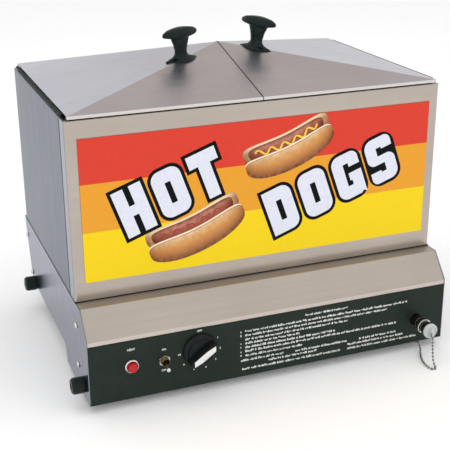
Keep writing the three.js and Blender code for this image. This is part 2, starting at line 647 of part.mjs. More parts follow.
/** A moulded T handle: oval flange, waisted stem and domed oval grip, with a screw bore. */
function teeHandle() {
  const oval = (profile, squash, segments) => turned(profile, "z", segments).scale(1, squash, 1);
  const stem = oval([
    [0, -4], [22, -4], [23.2, -3], [23.2, 1], [20.5, 2.4], [12.6, 4.8], [9.1, 8.5], [8.7, 14],
    [9.8, 22], [13.2, 33], [14.2, 35.5], [0, 35.5],
  ], 0.58, 20);
  const grip = oval([
    [0, 34], [20, 34.4], [24.4, 35.8], [25.6, 38], [24.4, 40.6], [19, 43.6], [10, 45.5], [0, 46],
  ], 0.5, 24);
  return cut(join(stem, grip), rod(2.9, 24, "z", [0, 0, -5], 12));
}

function handleScrew() {
  const head = -2.6;
  return turned([
    [0, head - 3], [4, head - 2.8], [5, head - 1.6], [5, head], [2.5, head], [2.5, 16], [0, 16],
  ], "z", 16);
}

function knuckleSpans() {
  const { y0, y1, knuckles } = HINGE;
  const pitch = (y1 - y0) / knuckles;
  return Array.from({ length: knuckles }, (_, i) => ({
    y0: y0 + pitch * i + (i > 0 ? LEAF.gap / 2 : 0),
    y1: y0 + pitch * (i + 1) - (i < knuckles - 1 ? LEAF.gap / 2 : 0),
    onFrame: i % 2 === 0,
  }));
}

/** One leaf of the left lid's hinge: a strip joined to its own knuckles. */
function hingeLeaf(outline, onFrame) {
  const { x, z, radius, bore, y0, y1 } = HINGE;
  const spans = knuckleSpans();
  const barrels = spans.filter((span) => span.onFrame === onFrame)
    .map((span) => rod(radius, span.y1 - span.y0, "y", [-x, span.y0, z], 16));
  const reach = radius + LEAF.notch;
  const clearances = spans.filter((span) => span.onFrame !== onFrame)
    .map((span) => box([-x - reach, -x + reach],
      [span.y0 - LEAF.gap, span.y1 + LEAF.gap], [z - reach, z + reach]));
  const strip = cut(prismY(outline, y0, y1), ...clearances);
  return cut(join(strip, ...barrels), rod(bore, y1 - y0 + 2, "y", [-x, y0 - 1, z], 12));
}

function addLids() {
  const slopeX = (APEX - EAVE) / LID_OUTER_X;
  const underFacet = (x) => EAVE + (x + LID_OUTER_X) * slopeX - LID_SHEET * Math.hypot(1, slopeX) - GAP;
  const frameLeaf = [
    [-HINGE.x, RIM_TOP + GAP], [-LEAF.reach, RIM_TOP + GAP],
    [-LEAF.reach, LID_BOTTOM - GAP], [-HINGE.x, LID_BOTTOM - GAP],
  ];
  const lidLeaf = [
    [-HINGE.x, underFacet(-HINGE.x) - LEAF.thick], [-LEAF.reach, underFacet(-LEAF.reach) - LEAF.thick],
    [-LEAF.reach, underFacet(-LEAF.reach)], [-HINGE.x, underFacet(-HINGE.x)],
  ];
  for (const [name, side] of [["left", -1], ["right", 1]]) {
    const across = (geometry) => (side < 0 ? geometry : mirrored(geometry));
    const place = HANDLES[name];
    const screwHole = onHip(rod(2.9, 12, "z", [0, 0, -8], 12), side, place);
    const clearRoof = across(halfPyramid(0)).translate(0, 0, GAP);
    add(`${name}_lid`, cut(across(lidShell()), screwHole), MATERIAL.stainless);
    add(`${name}_lid_handle`, cut(onHip(teeHandle(), side, place), clearRoof), MATERIAL.phenolic);
    add(`${name}_handle_screw`, onHip(handleScrew(), side, place), MATERIAL.bright);
    add(`${name}_hinge_frame_leaf`, across(hingeLeaf(frameLeaf, true)), MATERIAL.stainlessInside);
    add(`${name}_hinge_lid_leaf`, across(hingeLeaf(lidLeaf, false)), MATERIAL.stainlessInside);
    const pin = rod(HINGE.pin, HINGE.y1 - HINGE.y0, "y", [side * HINGE.x, HINGE.y0, HINGE.z], 12);
    add(`${name}_hinge_pin`, pin, MATERIAL.bright);
  }
}

/** The same geometry on the other side of the middle plane, its faces turned back out. */
function mirrored(geometry) {
  const index = geometry.index.array.slice();
  for (let i = 0; i < index.length; i += 3) {
    [index[i + 1], index[i + 2]] = [index[i + 2], index[i + 1]];
  }
  geometry.setIndex(new THREE.BufferAttribute(index, 1));
  return geometry.scale(-1, 1, 1);
}

// --------------------------------------------------------------------------- assembly

addBaseShell();
addCordGland();
addSideScrews();
addFeet();
addControlPanel();
addPilotLamp();
addToggleSwitch();
addThermostat();
addDrain();
addTank();
addHeater();
addTrays();
addCabinet();
addLids();

const outline = new THREE.Box3();
for (const mesh of machine.children) {
  if (mesh.name !== "drain_chain") outline.expandByObject(mesh);
}
const middle = outline.getCenter(new THREE.Vector3());
machine.position.set(-middle.x, -middle.y, 0);

export default part;
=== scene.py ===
"""A countertop hot dog steamer: the finished surfaces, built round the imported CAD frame."""
import json
import math
import random

import bmesh
import bpy
from mathutils import Matrix, Vector


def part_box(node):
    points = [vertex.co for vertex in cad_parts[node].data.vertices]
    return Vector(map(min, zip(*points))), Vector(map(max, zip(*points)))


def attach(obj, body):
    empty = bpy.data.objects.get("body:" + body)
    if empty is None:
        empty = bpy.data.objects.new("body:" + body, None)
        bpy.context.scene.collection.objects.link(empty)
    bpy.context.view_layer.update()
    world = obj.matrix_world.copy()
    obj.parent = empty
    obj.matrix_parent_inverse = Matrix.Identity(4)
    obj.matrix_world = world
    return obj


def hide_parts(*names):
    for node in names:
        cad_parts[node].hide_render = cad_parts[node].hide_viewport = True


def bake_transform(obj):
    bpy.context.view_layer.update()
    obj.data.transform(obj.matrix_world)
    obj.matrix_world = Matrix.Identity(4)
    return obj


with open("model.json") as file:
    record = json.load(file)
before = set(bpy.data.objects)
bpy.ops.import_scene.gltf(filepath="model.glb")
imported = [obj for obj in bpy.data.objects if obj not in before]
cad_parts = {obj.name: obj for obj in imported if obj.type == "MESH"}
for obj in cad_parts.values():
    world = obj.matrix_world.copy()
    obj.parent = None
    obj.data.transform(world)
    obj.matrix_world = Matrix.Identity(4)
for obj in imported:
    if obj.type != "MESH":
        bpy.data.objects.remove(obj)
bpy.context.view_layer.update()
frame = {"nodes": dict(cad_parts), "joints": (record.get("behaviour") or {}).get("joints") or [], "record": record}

MM = 0.001
BODY_OF = {
    node: body for body, nodes in frame["record"]["behaviour"]["bodies"].items() for node in nodes
}
SLOT_OF = {part["node"]: part["material_slot"] for part in frame["record"]["subparts"]}
JOINT_PLACE = {
    joint["name"]: Vector(joint["pos_m"]) for joint in frame["joints"] if "pos_m" in joint
}
front_low, front_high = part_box("cabinet_front_panel")
ORIGIN = Vector(((front_low.x + front_high.x) / 2, front_low.y, 0))


def at(x, y, z):
    """A point in millimetres from the foot of the cabinet front's middle line, on the counter."""
    return ORIGIN + Vector((x, y, z)) * MM


def middle(node):
    low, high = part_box(node)
    return (low + high) / 2


def in_mm(point):
    """The point in millimetres from ORIGIN."""
    return (point - ORIGIN) / MM


def box_mm(node):
    """The node's lowest and highest corners, in millimetres from ORIGIN."""
    return [in_mm(corner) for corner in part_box(node)]


def facing(point, direction, turn=0.0, axis="Z"):
    """Carries the local axis to direction and the local origin to point, after a turn about Z.

    The turn is in degrees. For a piece that faces the front, local X is right and Y is up."""
    aim = Vector(direction).to_track_quat(axis, "Y").to_matrix().to_4x4()
    return Matrix.Translation(point) @ aim @ Matrix.Rotation(math.radians(turn), 4, "Z")


def add_object(name, data):
    made = bpy.data.objects.new(name, data)
    bpy.context.scene.collection.objects.link(made)
    return made


def add_mesh(name, mesh, material):
    data = bpy.data.meshes.new(name)
    mesh.to_mesh(data)
    mesh.free()
    data.materials.append(material)
    return add_object(name, data)


# ---- camera

CAMERA_PLACE = (-0.4833, -1.2656, 0.6870)
CAMERA_AZIMUTH, CAMERA_ELEVATION, CAMERA_ROLL = -20.94, 21.17, -0.44
CAMERA_LENS = 79.57


def add_camera():
    azimuth, elevation = math.radians(CAMERA_AZIMUTH), math.radians(CAMERA_ELEVATION)
    level = Vector((math.sin(azimuth), -math.cos(azimuth), 0))
    away = level * math.cos(elevation) + Vector((0, 0, math.sin(elevation)))
    data = bpy.data.cameras.new("camera")
    data.lens = CAMERA_LENS
    data.sensor_width = 36
    data.clip_end = 60
    camera = add_object("camera", data)
    camera.matrix_world = facing(CAMERA_PLACE, -away, CAMERA_ROLL, "-Z")
    bpy.context.scene.camera = camera


add_camera()

# ---- materials


def set_stops(ramp, stops):
    """Gives a colour ramp its (position, colour) stops."""
    while len(ramp.elements) < len(stops):
        ramp.elements.new(0.5)
    for element, (position, colour) in zip(ramp.elements, stops):
        element.position = position
        element.color = (*colour, 1)


def add_node(tree, kind, inputs=None, **settings):
    """A new node; an input is a value, or the output socket that feeds it."""
    node = tree.nodes.new("ShaderNode" + kind)
    for name, value in settings.items():
        setattr(node, name, value)
    for name, value in (inputs or {}).items():
        if isinstance(value, bpy.types.NodeSocket):
            tree.links.new(value, node.inputs[name])
        else:
            node.inputs[name].default_value = value
    return node


class Paint:
    """One material and its node tree, with short ways to add and join nodes."""

    def __init__(self, name, metallic=0.0, roughness=0.4, **constants):
        self.material = bpy.data.materials.new(name)
        self.material.use_nodes = True
        self.tree = self.material.node_tree
        self.shader = self.tree.nodes["Principled BSDF"]
        self.shader.inputs["Metallic"].default_value = metallic
        self.shader.inputs["Roughness"].default_value = roughness
        for socket, value in constants.items():
            self.shader.inputs[socket.replace("_", " ")].default_value = value

    def node(self, kind, inputs=None, **settings):
        return add_node(self.tree, kind, inputs, **settings)

    def noise(self, scale, detail=3.0, stretch=(1, 1, 1)):
        """A noise value; scale counts its cells in a metre, stretch multiplies it for each axis."""
        place = self.node("TexCoord").outputs["Object"]
        mapped = self.node("Mapping", {"Vector": place, "Scale": stretch})
        return self.node("TexNoise", {
            "Vector": mapped.outputs["Vector"], "Scale": scale, "Detail": detail,
        }).outputs["Fac"]

    def along(self, axis):
        """How far along an axis, in metres, a place on the piece is."""
        place = self.node("TexCoord").outputs["Object"]
        return self.node("SeparateXYZ", {"Vector": place}).outputs[axis]

    def ramp(self, value, stops, interpolation="LINEAR"):
        """A colour for the value, from (position, colour) stops."""
        node = self.node("ValToRGB", {"Fac": value})
        node.color_ramp.interpolation = interpolation
        set_stops(node.color_ramp, stops)
        return node.outputs["Color"]

    def spread(self, value, low, high, start=0.3, end=0.7):
        """The value from start..end carried to low..high."""
        return self.node("MapRange", {
            "Value": value, "From Min": start, "From Max": end, "To Min": low, "To Max": high,
        }).outputs["Result"]

    def mix(self, factor, first, second, mode="MIX"):
        first, second = (
            (*colour, 1) if isinstance(colour, tuple) else colour for colour in (first, second))
        # Sockets 0, 6, 7 and output 2 are the ones that a mix of colours uses.
        inputs = {0: factor, 6: first, 7: second}
        return self.node("Mix", inputs, data_type="RGBA", blend_type=mode).outputs[2]

    def mottle(self, value, colours, roughness, start=0.3, end=0.7):
        """Colour and roughness that both go from the first to the second of a pair."""
        tint = self.mix(self.spread(value, 0.0, 1.0, start, end), *colours)
        return self.use(Base_Color=tint, Roughness=self.spread(value, *roughness))

    def bump(self, height, depth, strength=1.0):
        """Bump from a height value, whose full range is depth millimetres."""
        node = self.node("Bump", {"Height": height, "Distance": depth * MM, "Strength": strength})
        self.tree.links.new(node.outputs["Normal"], self.shader.inputs["Normal"])

    def use(self, **sockets):
        for name, value in sockets.items():
            self.tree.links.new(value, self.shader.inputs[name.replace("_", " ")])
        return self.material


def shade_of(colour, factor):
    return tuple(min(1.0, channel * factor) for channel in colour)


ZONE_BLUR = 0.3 * MM  # half the width over which the plain steel blends into a zone's painted light


def steel(name, colour, grain, roughness=0.3, zones=(), edge_tint=1.0):
    """Satin stainless sheet, its grain along the axis named by grain.

    A zone is (axis, edge, side, colour): past edge, in metres, towards side, 1 or -1, the sheet
    turns to that colour; the zones used paint shade on the front sheet's wrapped corners and a
    highlight on the console's and the lids' lips. edge_tint dims what the sheet mirrors at a grazing angle."""
    mirrored = (edge_tint, edge_tint, min(1.0, edge_tint * 1.06), 1)
    paint = Paint(name, metallic=1.0, Specular_Tint=mirrored)
    stretch = {"x": (0.012, 1, 1), "y": (1, 0.012, 1), "z": (1, 1, 0.012)}[grain]
    fine = paint.noise(1500, 2.0, stretch)
    streaks = paint.noise(170, 3.0, stretch)
    clouds = paint.noise(9, 3.0)
    smudges = paint.noise(38, 5.0)
    base = paint.mix(paint.spread(clouds, 0.0, 1.0), shade_of(colour, 0.94), shade_of(colour, 1.05))
    streaked = paint.mix(paint.spread(streaks, 0.0, 0.35), base, shade_of(colour, 0.86))
    rough = paint.node("Math", {
        0: paint.spread(smudges, roughness - 0.015, roughness + 0.02),
        1: paint.spread(streaks, -0.02, 0.03),
    }, operation="ADD").outputs[0]
    paint.bump(fine, 0.006, 0.3)
    # Each zone's colour is painted light laid over part of the sheet.
    for axis, edge, side, painted_light_colour in zones:
        blur = side * ZONE_BLUR
        share = paint.spread(paint.along(axis), 0.0, 1.0, edge - blur, edge + blur)
        streaked = paint.mix(share, streaked, painted_light_colour)
    return paint.use(Base_Color=streaked, Roughness=rough)


def plated(name, colour, roughness=0.14):
    """Bright plating with a few dull spots."""
    paint = Paint(name, metallic=1.0)
    paint.bump(paint.noise(900, 2.0), 0.01, 0.3)
    colours = colour, shade_of(colour, 0.72)
    return paint.mottle(
        paint.noise(420, 4.0), colours, (roughness, roughness + 0.14), 0.45, 0.75)


def moulded(name, colour, roughness, grit, depth, worn, specular):
    """Moulded plastic or rubber.

    grit is the surface grain's cells in a metre, depth its height in mm, and worn the factor from
    its colour to that of its patches."""
    paint = Paint(name, Specular_IOR_Level=specular)
    paint.bump(paint.noise(grit, 3.0), depth)
    colours = colour, shade_of(colour, worn)
    return paint.mottle(paint.noise(60, 4.0), colours, (roughness - 0.05, roughness + 0.08))


def printed(name, colour, roughness=0.32):
    """Flat ink with a faint unevenness."""
    paint = Paint(name, Specular_IOR_Level=0.08)
    colours = shade_of(colour, 0.95), shade_of(colour, 1.03)
    return paint.mottle(paint.noise(240, 3.0), colours, (roughness - 0.03, roughness + 0.05))


BAND_COLOURS = ((0.87, 0.63, 0.009), (0.78, 0.34, 0.027), (0.67, 0.050, 0.028))
BAND_EDGES = (0.352, 0.69)  # where the orange and the red begin, as shares of the sign's height


def sign_print():
    """Three flat bands, yellow below, orange and red above, on a half-gloss panel."""
    low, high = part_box("sign_panel")
    paint = Paint("sign_print", Specular_IOR_Level=0.15)
    share = paint.spread(paint.along("Z"), 0.0, 1.0, low.z, high.z)
    stops = list(zip((0.0, *BAND_EDGES), BAND_COLOURS))
    bands = paint.ramp(share, stops, "CONSTANT")
    mottle = paint.noise(180, 3.0)
    tint = paint.mix(paint.spread(mottle, 0.0, 0.5), bands, (1, 0.97, 0.93), "MULTIPLY")
    paint.bump(paint.noise(700, 2.0), 0.008, 0.4)
    return paint.use(Base_Color=tint, Roughness=paint.spread(mottle, 0.24, 0.34))


# How much of its colour a drawn bun or sausage keeps, from its left end to its right end.
INK_ENDS = [(0.0, (0.36, 0.26, 0.23)), (0.08, (0.76, 0.67, 0.62)), (0.26, (1, 1, 1)),
            (0.8, (1, 1, 1)), (0.93, (0.80, 0.70, 0.64)), (1.0, (0.40, 0.28, 0.25))]


def shaded_print(name, across, blotch, amount):
    """Ink shaded like a rounded body: colours across it, darker towards the ends, with blotches."""
    paint = Paint(name, roughness=0.34, Specular_IOR_Level=0.08)
    both = paint.node("SeparateXYZ", {"Vector": paint.node("UVMap", uv_map="body").outputs["UV"]})
    body = paint.ramp(both.outputs["Y"], across)
    tips = paint.ramp(both.outputs["X"], INK_ENDS)
    lit = paint.mix(1.0, body, tips, "MULTIPLY")
    patches = paint.spread(paint.noise(150, 4.0), 0.0, amount, 0.35, 0.7)
    return paint.use(Base_Color=paint.mix(patches, lit, blotch))


# The sides' steel colour, darker and bluer than the front's: painted shade on the side faces.
SIDE_SHADED_STEEL = (0.30, 0.32, 0.36)
CORNER = 0.7 * MM  # how far in from its sides the front sheet's wrapped corners begin
CONSOLE_LIP, LID_LIP = 7.0, 4.0  # mm, the upright lips at the foot of the console and the lids
LIP_HIGHLIGHT_INSET = 0.4  # mm, how far below a lip's top its painted highlight begins
# Below these heights the upright lips of the console and the lids are painted paler: a painted highlight.
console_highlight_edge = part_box("control_panel")[1].z + (CONSOLE_LIP - LIP_HIGHLIGHT_INSET) * MM
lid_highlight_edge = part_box("left_lid")[0].z + (LID_LIP - LIP_HIGHLIGHT_INSET) * MM
# One stainless steel, tinted sheet by sheet as painted light and shade: warm on the front and console, paler and
# bluish on the lids. Past CORNER, the front sheet's wrapped corners take the sides' painted shade.
steel_front = steel("steel_front", (0.485, 0.43, 0.38), "x", zones=[
    ("X", front_low.x + CORNER, -1, SIDE_SHADED_STEEL), ("X", front_high.x - CORNER, 1, SIDE_SHADED_STEEL),
])
# The paler colour below the lip's edge is a painted highlight on the console's lip.
steel_console = steel(
    "steel_console", (0.49, 0.435, 0.385), "x", 0.4, [("Z", console_highlight_edge, -1, (0.60, 0.54, 0.49))])
# The cabinet's and the base's side sheets: their darker colour and dimmed grazing reflection (edge_tint) are
# painted shade.
steel_side = steel("steel_side", SIDE_SHADED_STEEL, "z", 0.22, edge_tint=0.58)
steel_base_side = steel("steel_base_side", (0.30, 0.315, 0.355), "z", 0.24, edge_tint=0.83)
steel_back = steel("steel_back", (0.47, 0.465, 0.47), "x")
# The paler colour below the lip's edge is a painted highlight on the lids' front lips.
steel_lid = steel(
    "steel_lid", (0.635, 0.645, 0.69), "x", 0.33, [("Z", lid_highlight_edge, -1, (0.68, 0.64, 0.61))])
# Near black, so that the hinges paint the shaded gap between the lids and the cabinet's sides.
hinge_black = moulded("hinge_black", (0.003, 0.004, 0.004), 0.5, 900, 0.01, 1.6, 0.08)
knob_black = moulded("knob_black", (0.004, 0.006, 0.006), 0.3, 300, 0.02, 1.8, 0.18)
FINISH = {
    "stainless": steel_front,
    "stainless_inside": steel("steel_inside", (0.53, 0.54, 0.55), "y", 0.38),
    "bright_metal": plated("bright_plate", (0.82, 0.81, 0.79)),
    "panel_black": moulded("panel_enamel", (0.009, 0.0165, 0.012), 0.45, 1800, 0.01, 1.35, 0.2),
    "phenolic": moulded("phenolic", (0.003, 0.008, 0.007), 0.1, 260, 0.02, 1.8, 0.2),
    "rubber": moulded("rubber", (0.004, 0.008, 0.007), 0.3, 900, 0.05, 1.9, 0.2),
    "sign_print": sign_print(),
    "lamp_red": moulded("lamp_lens", (0.40, 0.006, 0.010), 0.22, 400, 0.02, 1.35, 0.4),
    "switch_brass": plated("switch_brass", (0.17, 0.12, 0.05), 0.3),
    "drain_dark": plated("drain_dark", (0.14, 0.14, 0.10), 0.2),
    "plug_grey": moulded("plug_grey", (0.56, 0.57, 0.58), 0.4, 500, 0.03, 0.82, 0.5),
    "heater_sheath": plated("heater_sheath", (0.2, 0.2, 0.2), 0.4),
}

# ---- mesh helpers

ARC_STEPS = 6


def soften(corners, closed=True):
    """The corners (u, v, radius) as points, each corner with a radius turned into an arc."""
    points = []
    for i, (u, v, *rest) in enumerate(corners):
        here, radius = Vector((u, v)), rest[0] if rest else 0
        inside = closed or 0 < i < len(corners) - 1
        if not radius or not inside:
            points.append(here)
            continue
        back = Vector(corners[i - 1][:2]) - here
        ahead = Vector(corners[(i + 1) % len(corners)][:2]) - here
        half = back.angle(ahead) / 2
        # An arc takes up just under half of a side at most.
        reach = min(radius / math.tan(half), 0.48 * back.length, 0.48 * ahead.length)
        back.normalize()
        ahead.normalize()
        centre = here + (back + ahead).normalized() * reach / math.cos(half)
        first, last = (here + way * reach - centre for way in (back, ahead))
        points += [
            centre + first.slerp(last, k / ARC_STEPS) * first.length for k in range(ARC_STEPS + 1)
        ]
    return points


def box_loop(u0, v0, u1, v1, radius=0.0):
    """A rectangle's outline, its corners rounded."""
    return soften([(u0, v0, radius), (u1, v0, radius), (u1, v1, radius), (u0, v1, radius)])


def round_angles(count):
    return [2 * math.pi * k / count for k in range(count)]


def skin(mesh, rings, segments, closed=False):
    """Makes the faces between neighbouring rings of points; a ring may be one point, at a tip."""
    for lower, upper in zip(rings, rings[1:] + (rings[:1] if closed else [])):
        for k in range(segments):
            corners = (
                lower[k % len(lower)], lower[(k + 1) % len(lower)],
                upper[(k + 1) % len(upper)], upper[k % len(upper)],
            )
            mesh.faces.new(dict.fromkeys(corners))
    bmesh.ops.recalc_face_normals(mesh, faces=mesh.faces)


def turned(corners, segments=64, closed=False, squash=None):
    """A body turned round local Z from (radius, height, fillet) corners in mm.

    squash gives, for a height, the share of its depth that is left and how far the oval's ends
    are pointed, from 0 to 1."""
    mesh = bmesh.new()
    rings = []
    for radius, height in soften(corners, closed):
        if radius < 1e-4:
            rings.append([mesh.verts.new((0, 0, height * MM))])
            continue
        share, point = squash(height) if squash else (1, 0)
        ring = []
        for angle in round_angles(segments):
            depth = radius * share * math.sin(angle) * (1 - point + point * abs(math.sin(angle)))
            ring.append(mesh.verts.new((radius * math.cos(angle) * MM, depth * MM, height * MM)))
        rings.append(ring)
    skin(mesh, rings, segments, closed)
    return mesh


def slab(outline, low, high, edge=0.0, segments=3):
    """A plate with a flat (u, v) outline in mm, from height low to high, its edges rounded."""
    mesh = bmesh.new()
    bottom, top = (
        [mesh.verts.new((u * MM, v * MM, height * MM)) for u, v in outline]
        for height in (low, high))
    mesh.faces.new(bottom)
    mesh.faces.new(top)
    skin(mesh, [bottom, top], len(outline))
    round_edges(mesh, edge, 30, segments)
    return mesh


def round_edges(mesh, width, angle, segments=2):
    """Rounds every edge whose faces meet at more than angle degrees."""
    if not width:
        return
    sharp = [e for e in mesh.edges if e.is_manifold and e.calc_face_angle(0) > math.radians(angle)]
    bmesh.ops.bevel(
        mesh, geom=sharp, offset=width * MM, offset_type="OFFSET", segments=segments,
        profile=0.5, affect="EDGES", clamp_overlap=True,
    )


def merge(*meshes):
    """The first mesh with the others added to it."""
    whole, *others = meshes
    for other in others:
        copy = bpy.data.meshes.new("part")
        other.to_mesh(copy)
        other.free()
        whole.from_mesh(copy)
        bpy.data.meshes.remove(copy)
    return whole


def swept(points, radius, segments, closed=False):
    """A round tube through points in metres, with flat caps where it is open."""
    mesh = bmesh.new()
    rings = []
    count = len(points)
    side = None
    for i, point in enumerate(points):
        before = points[i - 1] if closed or i else point
        after = points[(i + 1) % count] if closed or i < count - 1 else point
        along = (after - before).normalized()
        side = along.orthogonal() if side is None else side - along * side.dot(along)
        side.normalize()
        other = along.cross(side)
        rings.append([
            mesh.verts.new(point + (side * math.cos(a) + other * math.sin(a)) * radius)
            for a in round_angles(segments)
        ])
    if not closed:
        mesh.faces.new(rings[0])
        mesh.faces.new(rings[-1])
    skin(mesh, rings, segments, closed)
    return mesh


def placed(mesh, matrix):
    mesh.transform(matrix)
    return mesh


FRONT = (0, -1, 0)
SHARP = math.radians(35)  # edges that turn more than this stay sharp


def add_piece(name, mesh, material, body, slot, stands_for=()):
    """Makes the mesh a piece of the object: it rides on body and replaces the nodes named."""
    piece = add_mesh(name, mesh, material)
    piece.data.shade_smooth()
    piece.data.set_sharp_from_angle(angle=SHARP)
    if body:
        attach(piece, body)
    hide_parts(*stands_for)
    return piece


def stand_in(node, mesh, material=None):
    """A piece that replaces one CAD node, on that node's body, in the finish of that node's material
    slot unless another material is given.
    """
    slot = SLOT_OF[node]
    return add_piece(
        node + "_finish", mesh, material or FINISH[slot], BODY_OF[node], slot, [node])


def finished(node, edge=0.35, angle=24, segments=2, material=None):
    """A CAD node's own shape with its edges rounded, for folded and cut sheet."""
    mesh = bmesh.new()
    mesh.from_mesh(frame["nodes"][node].data)
    bmesh.ops.remove_doubles(mesh, verts=mesh.verts, dist=1e-5)
    bmesh.ops.dissolve_limit(mesh, angle_limit=math.radians(1), verts=mesh.verts, edges=mesh.edges)
    round_edges(mesh, edge, angle, segments)
    piece = stand_in(node, mesh, material)
    piece.modifiers.new("weighted", "WEIGHTED_NORMAL").keep_sharp = True


# ---- drain chain

# The same points as the chain's solid, in metres from ORIGIN.
CHAIN_ROUTE = [
    (0.2162, -0.0955, 0.0416), (0.2162, -0.0959, 0.0372), (0.2163, -0.0963, 0.0328),
    (0.2164, -0.0967, 0.0284), (0.2165, -0.0971, 0.0240), (0.2166, -0.0976, 0.0196),
    (0.2167, -0.0982, 0.0152), (0.2168, -0.0990, 0.0110), (0.2168, -0.1004, 0.0072),
    (0.2166, -0.1028, 0.0042), (0.2161, -0.1062, 0.0025), (0.2149, -0.1098, 0.0019),
    (0.2122, -0.1122, 0.0019), (0.2090, -0.1116, 0.0019), (0.2070, -0.1084, 0.0019),
    (0.2062, -0.1040, 0.0019), (0.2061, -0.0994, 0.0019), (0.2066, -0.0948, 0.0019),
    (0.2075, -0.0902, 0.0019), (0.2087, -0.0857, 0.0019), (0.2102, -0.0812, 0.0019),
    (0.2119, -0.0768, 0.0019), (0.2139, -0.0725, 0.0021), (0.2160, -0.0684, 0.0025),
    (0.2182, -0.0644, 0.0031), (0.2204, -0.0605, 0.0040), (0.2224, -0.0565, 0.0052),
    (0.2239, -0.0525, 0.0066), (0.2248, -0.0490, 0.0079), (0.2250, -0.0469, 0.0086),
]
BALL, BALL_PITCH, LINK = 0.0032, 0.0052, 0.0004


def smooth_line(points):
    """Points close together on the smooth curve through the given ones."""
    line, per_span = [], 8
    for i in range(len(points) - 1):
        p0, p1 = points[max(i - 1, 0)], points[i]
        p2, p3 = points[i + 1], points[min(i + 2, len(points) - 1)]
        for k in range(per_span):
            t = k / per_span
            line.append(0.5 * (
                2 * p1 + (p2 - p0) * t + (2 * p0 - 5 * p1 + 4 * p2 - p3) * t * t
                + (3 * p1 - p0 - 3 * p2 + p3) * t ** 3))
    return [*line, points[-1]]


def evenly(line, pitch):
    """Points along the line, pitch apart, from half a pitch after its start."""
    found, wanted, walked = [], pitch / 2, 0.0
    for a, b in zip(line, line[1:]):
        step = (b - a).length
        while walked + step >= wanted:
            found.append(a.lerp(b, (wanted - walked) / step))
            wanted += pitch
        walked += step
    return found


def ring_of_wire(centre, axis):
    """One of the chain's two closed wire rings."""
    place, radius, wire = facing(centre, axis), 0.0026, 0.00055
    points = [place @ (Vector((math.cos(a), math.sin(a), 0)) * radius) for a in round_angles(32)]
    return swept(points, wire, 10, closed=True)


def add_chain():
    line = smooth_line([ORIGIN + Vector(point) for point in CHAIN_ROUTE])
    mesh = swept(line, LINK, 8)
    for ball in evenly(line, BALL_PITCH):
        bmesh.ops.create_uvsphere(
            mesh, u_segments=18, v_segments=12, radius=BALL / 2, matrix=Matrix.Translation(ball))
    bright = plated("chain_nickel", (0.24, 0.23, 0.22), 0.22)
    chain = add_piece("drain_ball_chain", mesh, bright, None, "bright_metal", ["drain_chain"])
    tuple(line[0])
    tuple(line[-1])
    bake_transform(chain)

    eye, lug = at(216.4, -93.8, 45.8), at(225, -42, 8.6)
    top_ring = add_piece(
        "chain_plug_ring", ring_of_wire(eye.lerp(line[0], 0.45), (0.3, 1, 0.25)), bright,
        "drain_plug", "bright_metal")
    lug_ring = add_piece(
        "chain_lug_ring", ring_of_wire(line[-1].lerp(lug, 0.5), (0.25, 0, 1)), bright,
        "cabinet", "bright_metal")
    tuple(line[0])


add_chain()

# ---- sheet metal


def folded_sheet(path, thickness, x0, x1):
    """A sheet bent along a (y, z, bend radius) path and carried from x0 to x1, in mm."""
    outside = soften(path, closed=False)
    inside = []
    for i, point in enumerate(outside):
        before = (point - outside[i - 1]).normalized() if i else None
        after = (outside[i + 1] - point).normalized() if i < len(outside) - 1 else None
        along = ((before or after) + (after or before)).normalized()
        left = Vector((-along.y, along.x))
        edge_left = Vector((-(before or after).y, (before or after).x))
        inside.append(point + left * thickness / left.dot(edge_left))
    outline = [tuple(point) for point in outside + inside[::-1]]
    # Local X is the world's Y, local Y is Z and local Z is X.
    basis = Matrix(((0, 0, 1, 0), (1, 0, 0, 0), (0, 1, 0, 0), (0, 0, 0, 1)))
    return placed(slab(outline, x0, x1, 0.25, 2), Matrix.Translation(ORIGIN) @ basis)


def add_console():
    """The base's top sheet: shelf, slope, lip and the return behind the control panel."""
    low, high = box_mm("base_console")
    panel_top = box_mm("control_panel")[1].z
    gap, shelf_edge, return_depth, thickness = 0.3, -21.5, 8, 1.2
    path = [
        (high.y, high.z), (shelf_edge, high.z, 2.6), (low.y, panel_top + CONSOLE_LIP, 2.2),
        (low.y, panel_top + gap, 1.4), (low.y + return_depth, panel_top + gap),
    ]
    stand_in("base_console", folded_sheet(path, thickness, low.x, high.x), steel_console)


def add_sheets():
    finished("cabinet_front_panel", material=steel_front)
    finished("cabinet_back_panel", material=steel_back)
    for side in ("left", "right"):
        finished(f"cabinet_{side}_panel", material=steel_side)
        finished(f"base_{side}_panel", material=steel_base_side)
        finished(f"{side}_lid", 0.5, 10, 3, steel_lid)
        for leaf in ("frame", "lid"):
            finished(f"{side}_hinge_{leaf}_leaf", 0.15, material=hinge_black)
        finished(f"{side}_hinge_pin", 0.2, material=hinge_black)
    finished("base_rear_cover", material=steel_base_side)
    for node in (
        "base_bottom_cover", "cabinet_top_frame", "center_divider", "water_tank",
        "tray_support_frame", "hot_dog_tray", "bun_tray", "chain_lug",
    ):
        finished(node, 0.25)
    finished("control_panel", 0.4, 30)
    finished("sign_panel", 0.3)
    finished("thermostat_body", 0.5, 30)
    finished("toggle_nut", 0.35, 30, material=FINISH["bright_metal"])
    add_console()


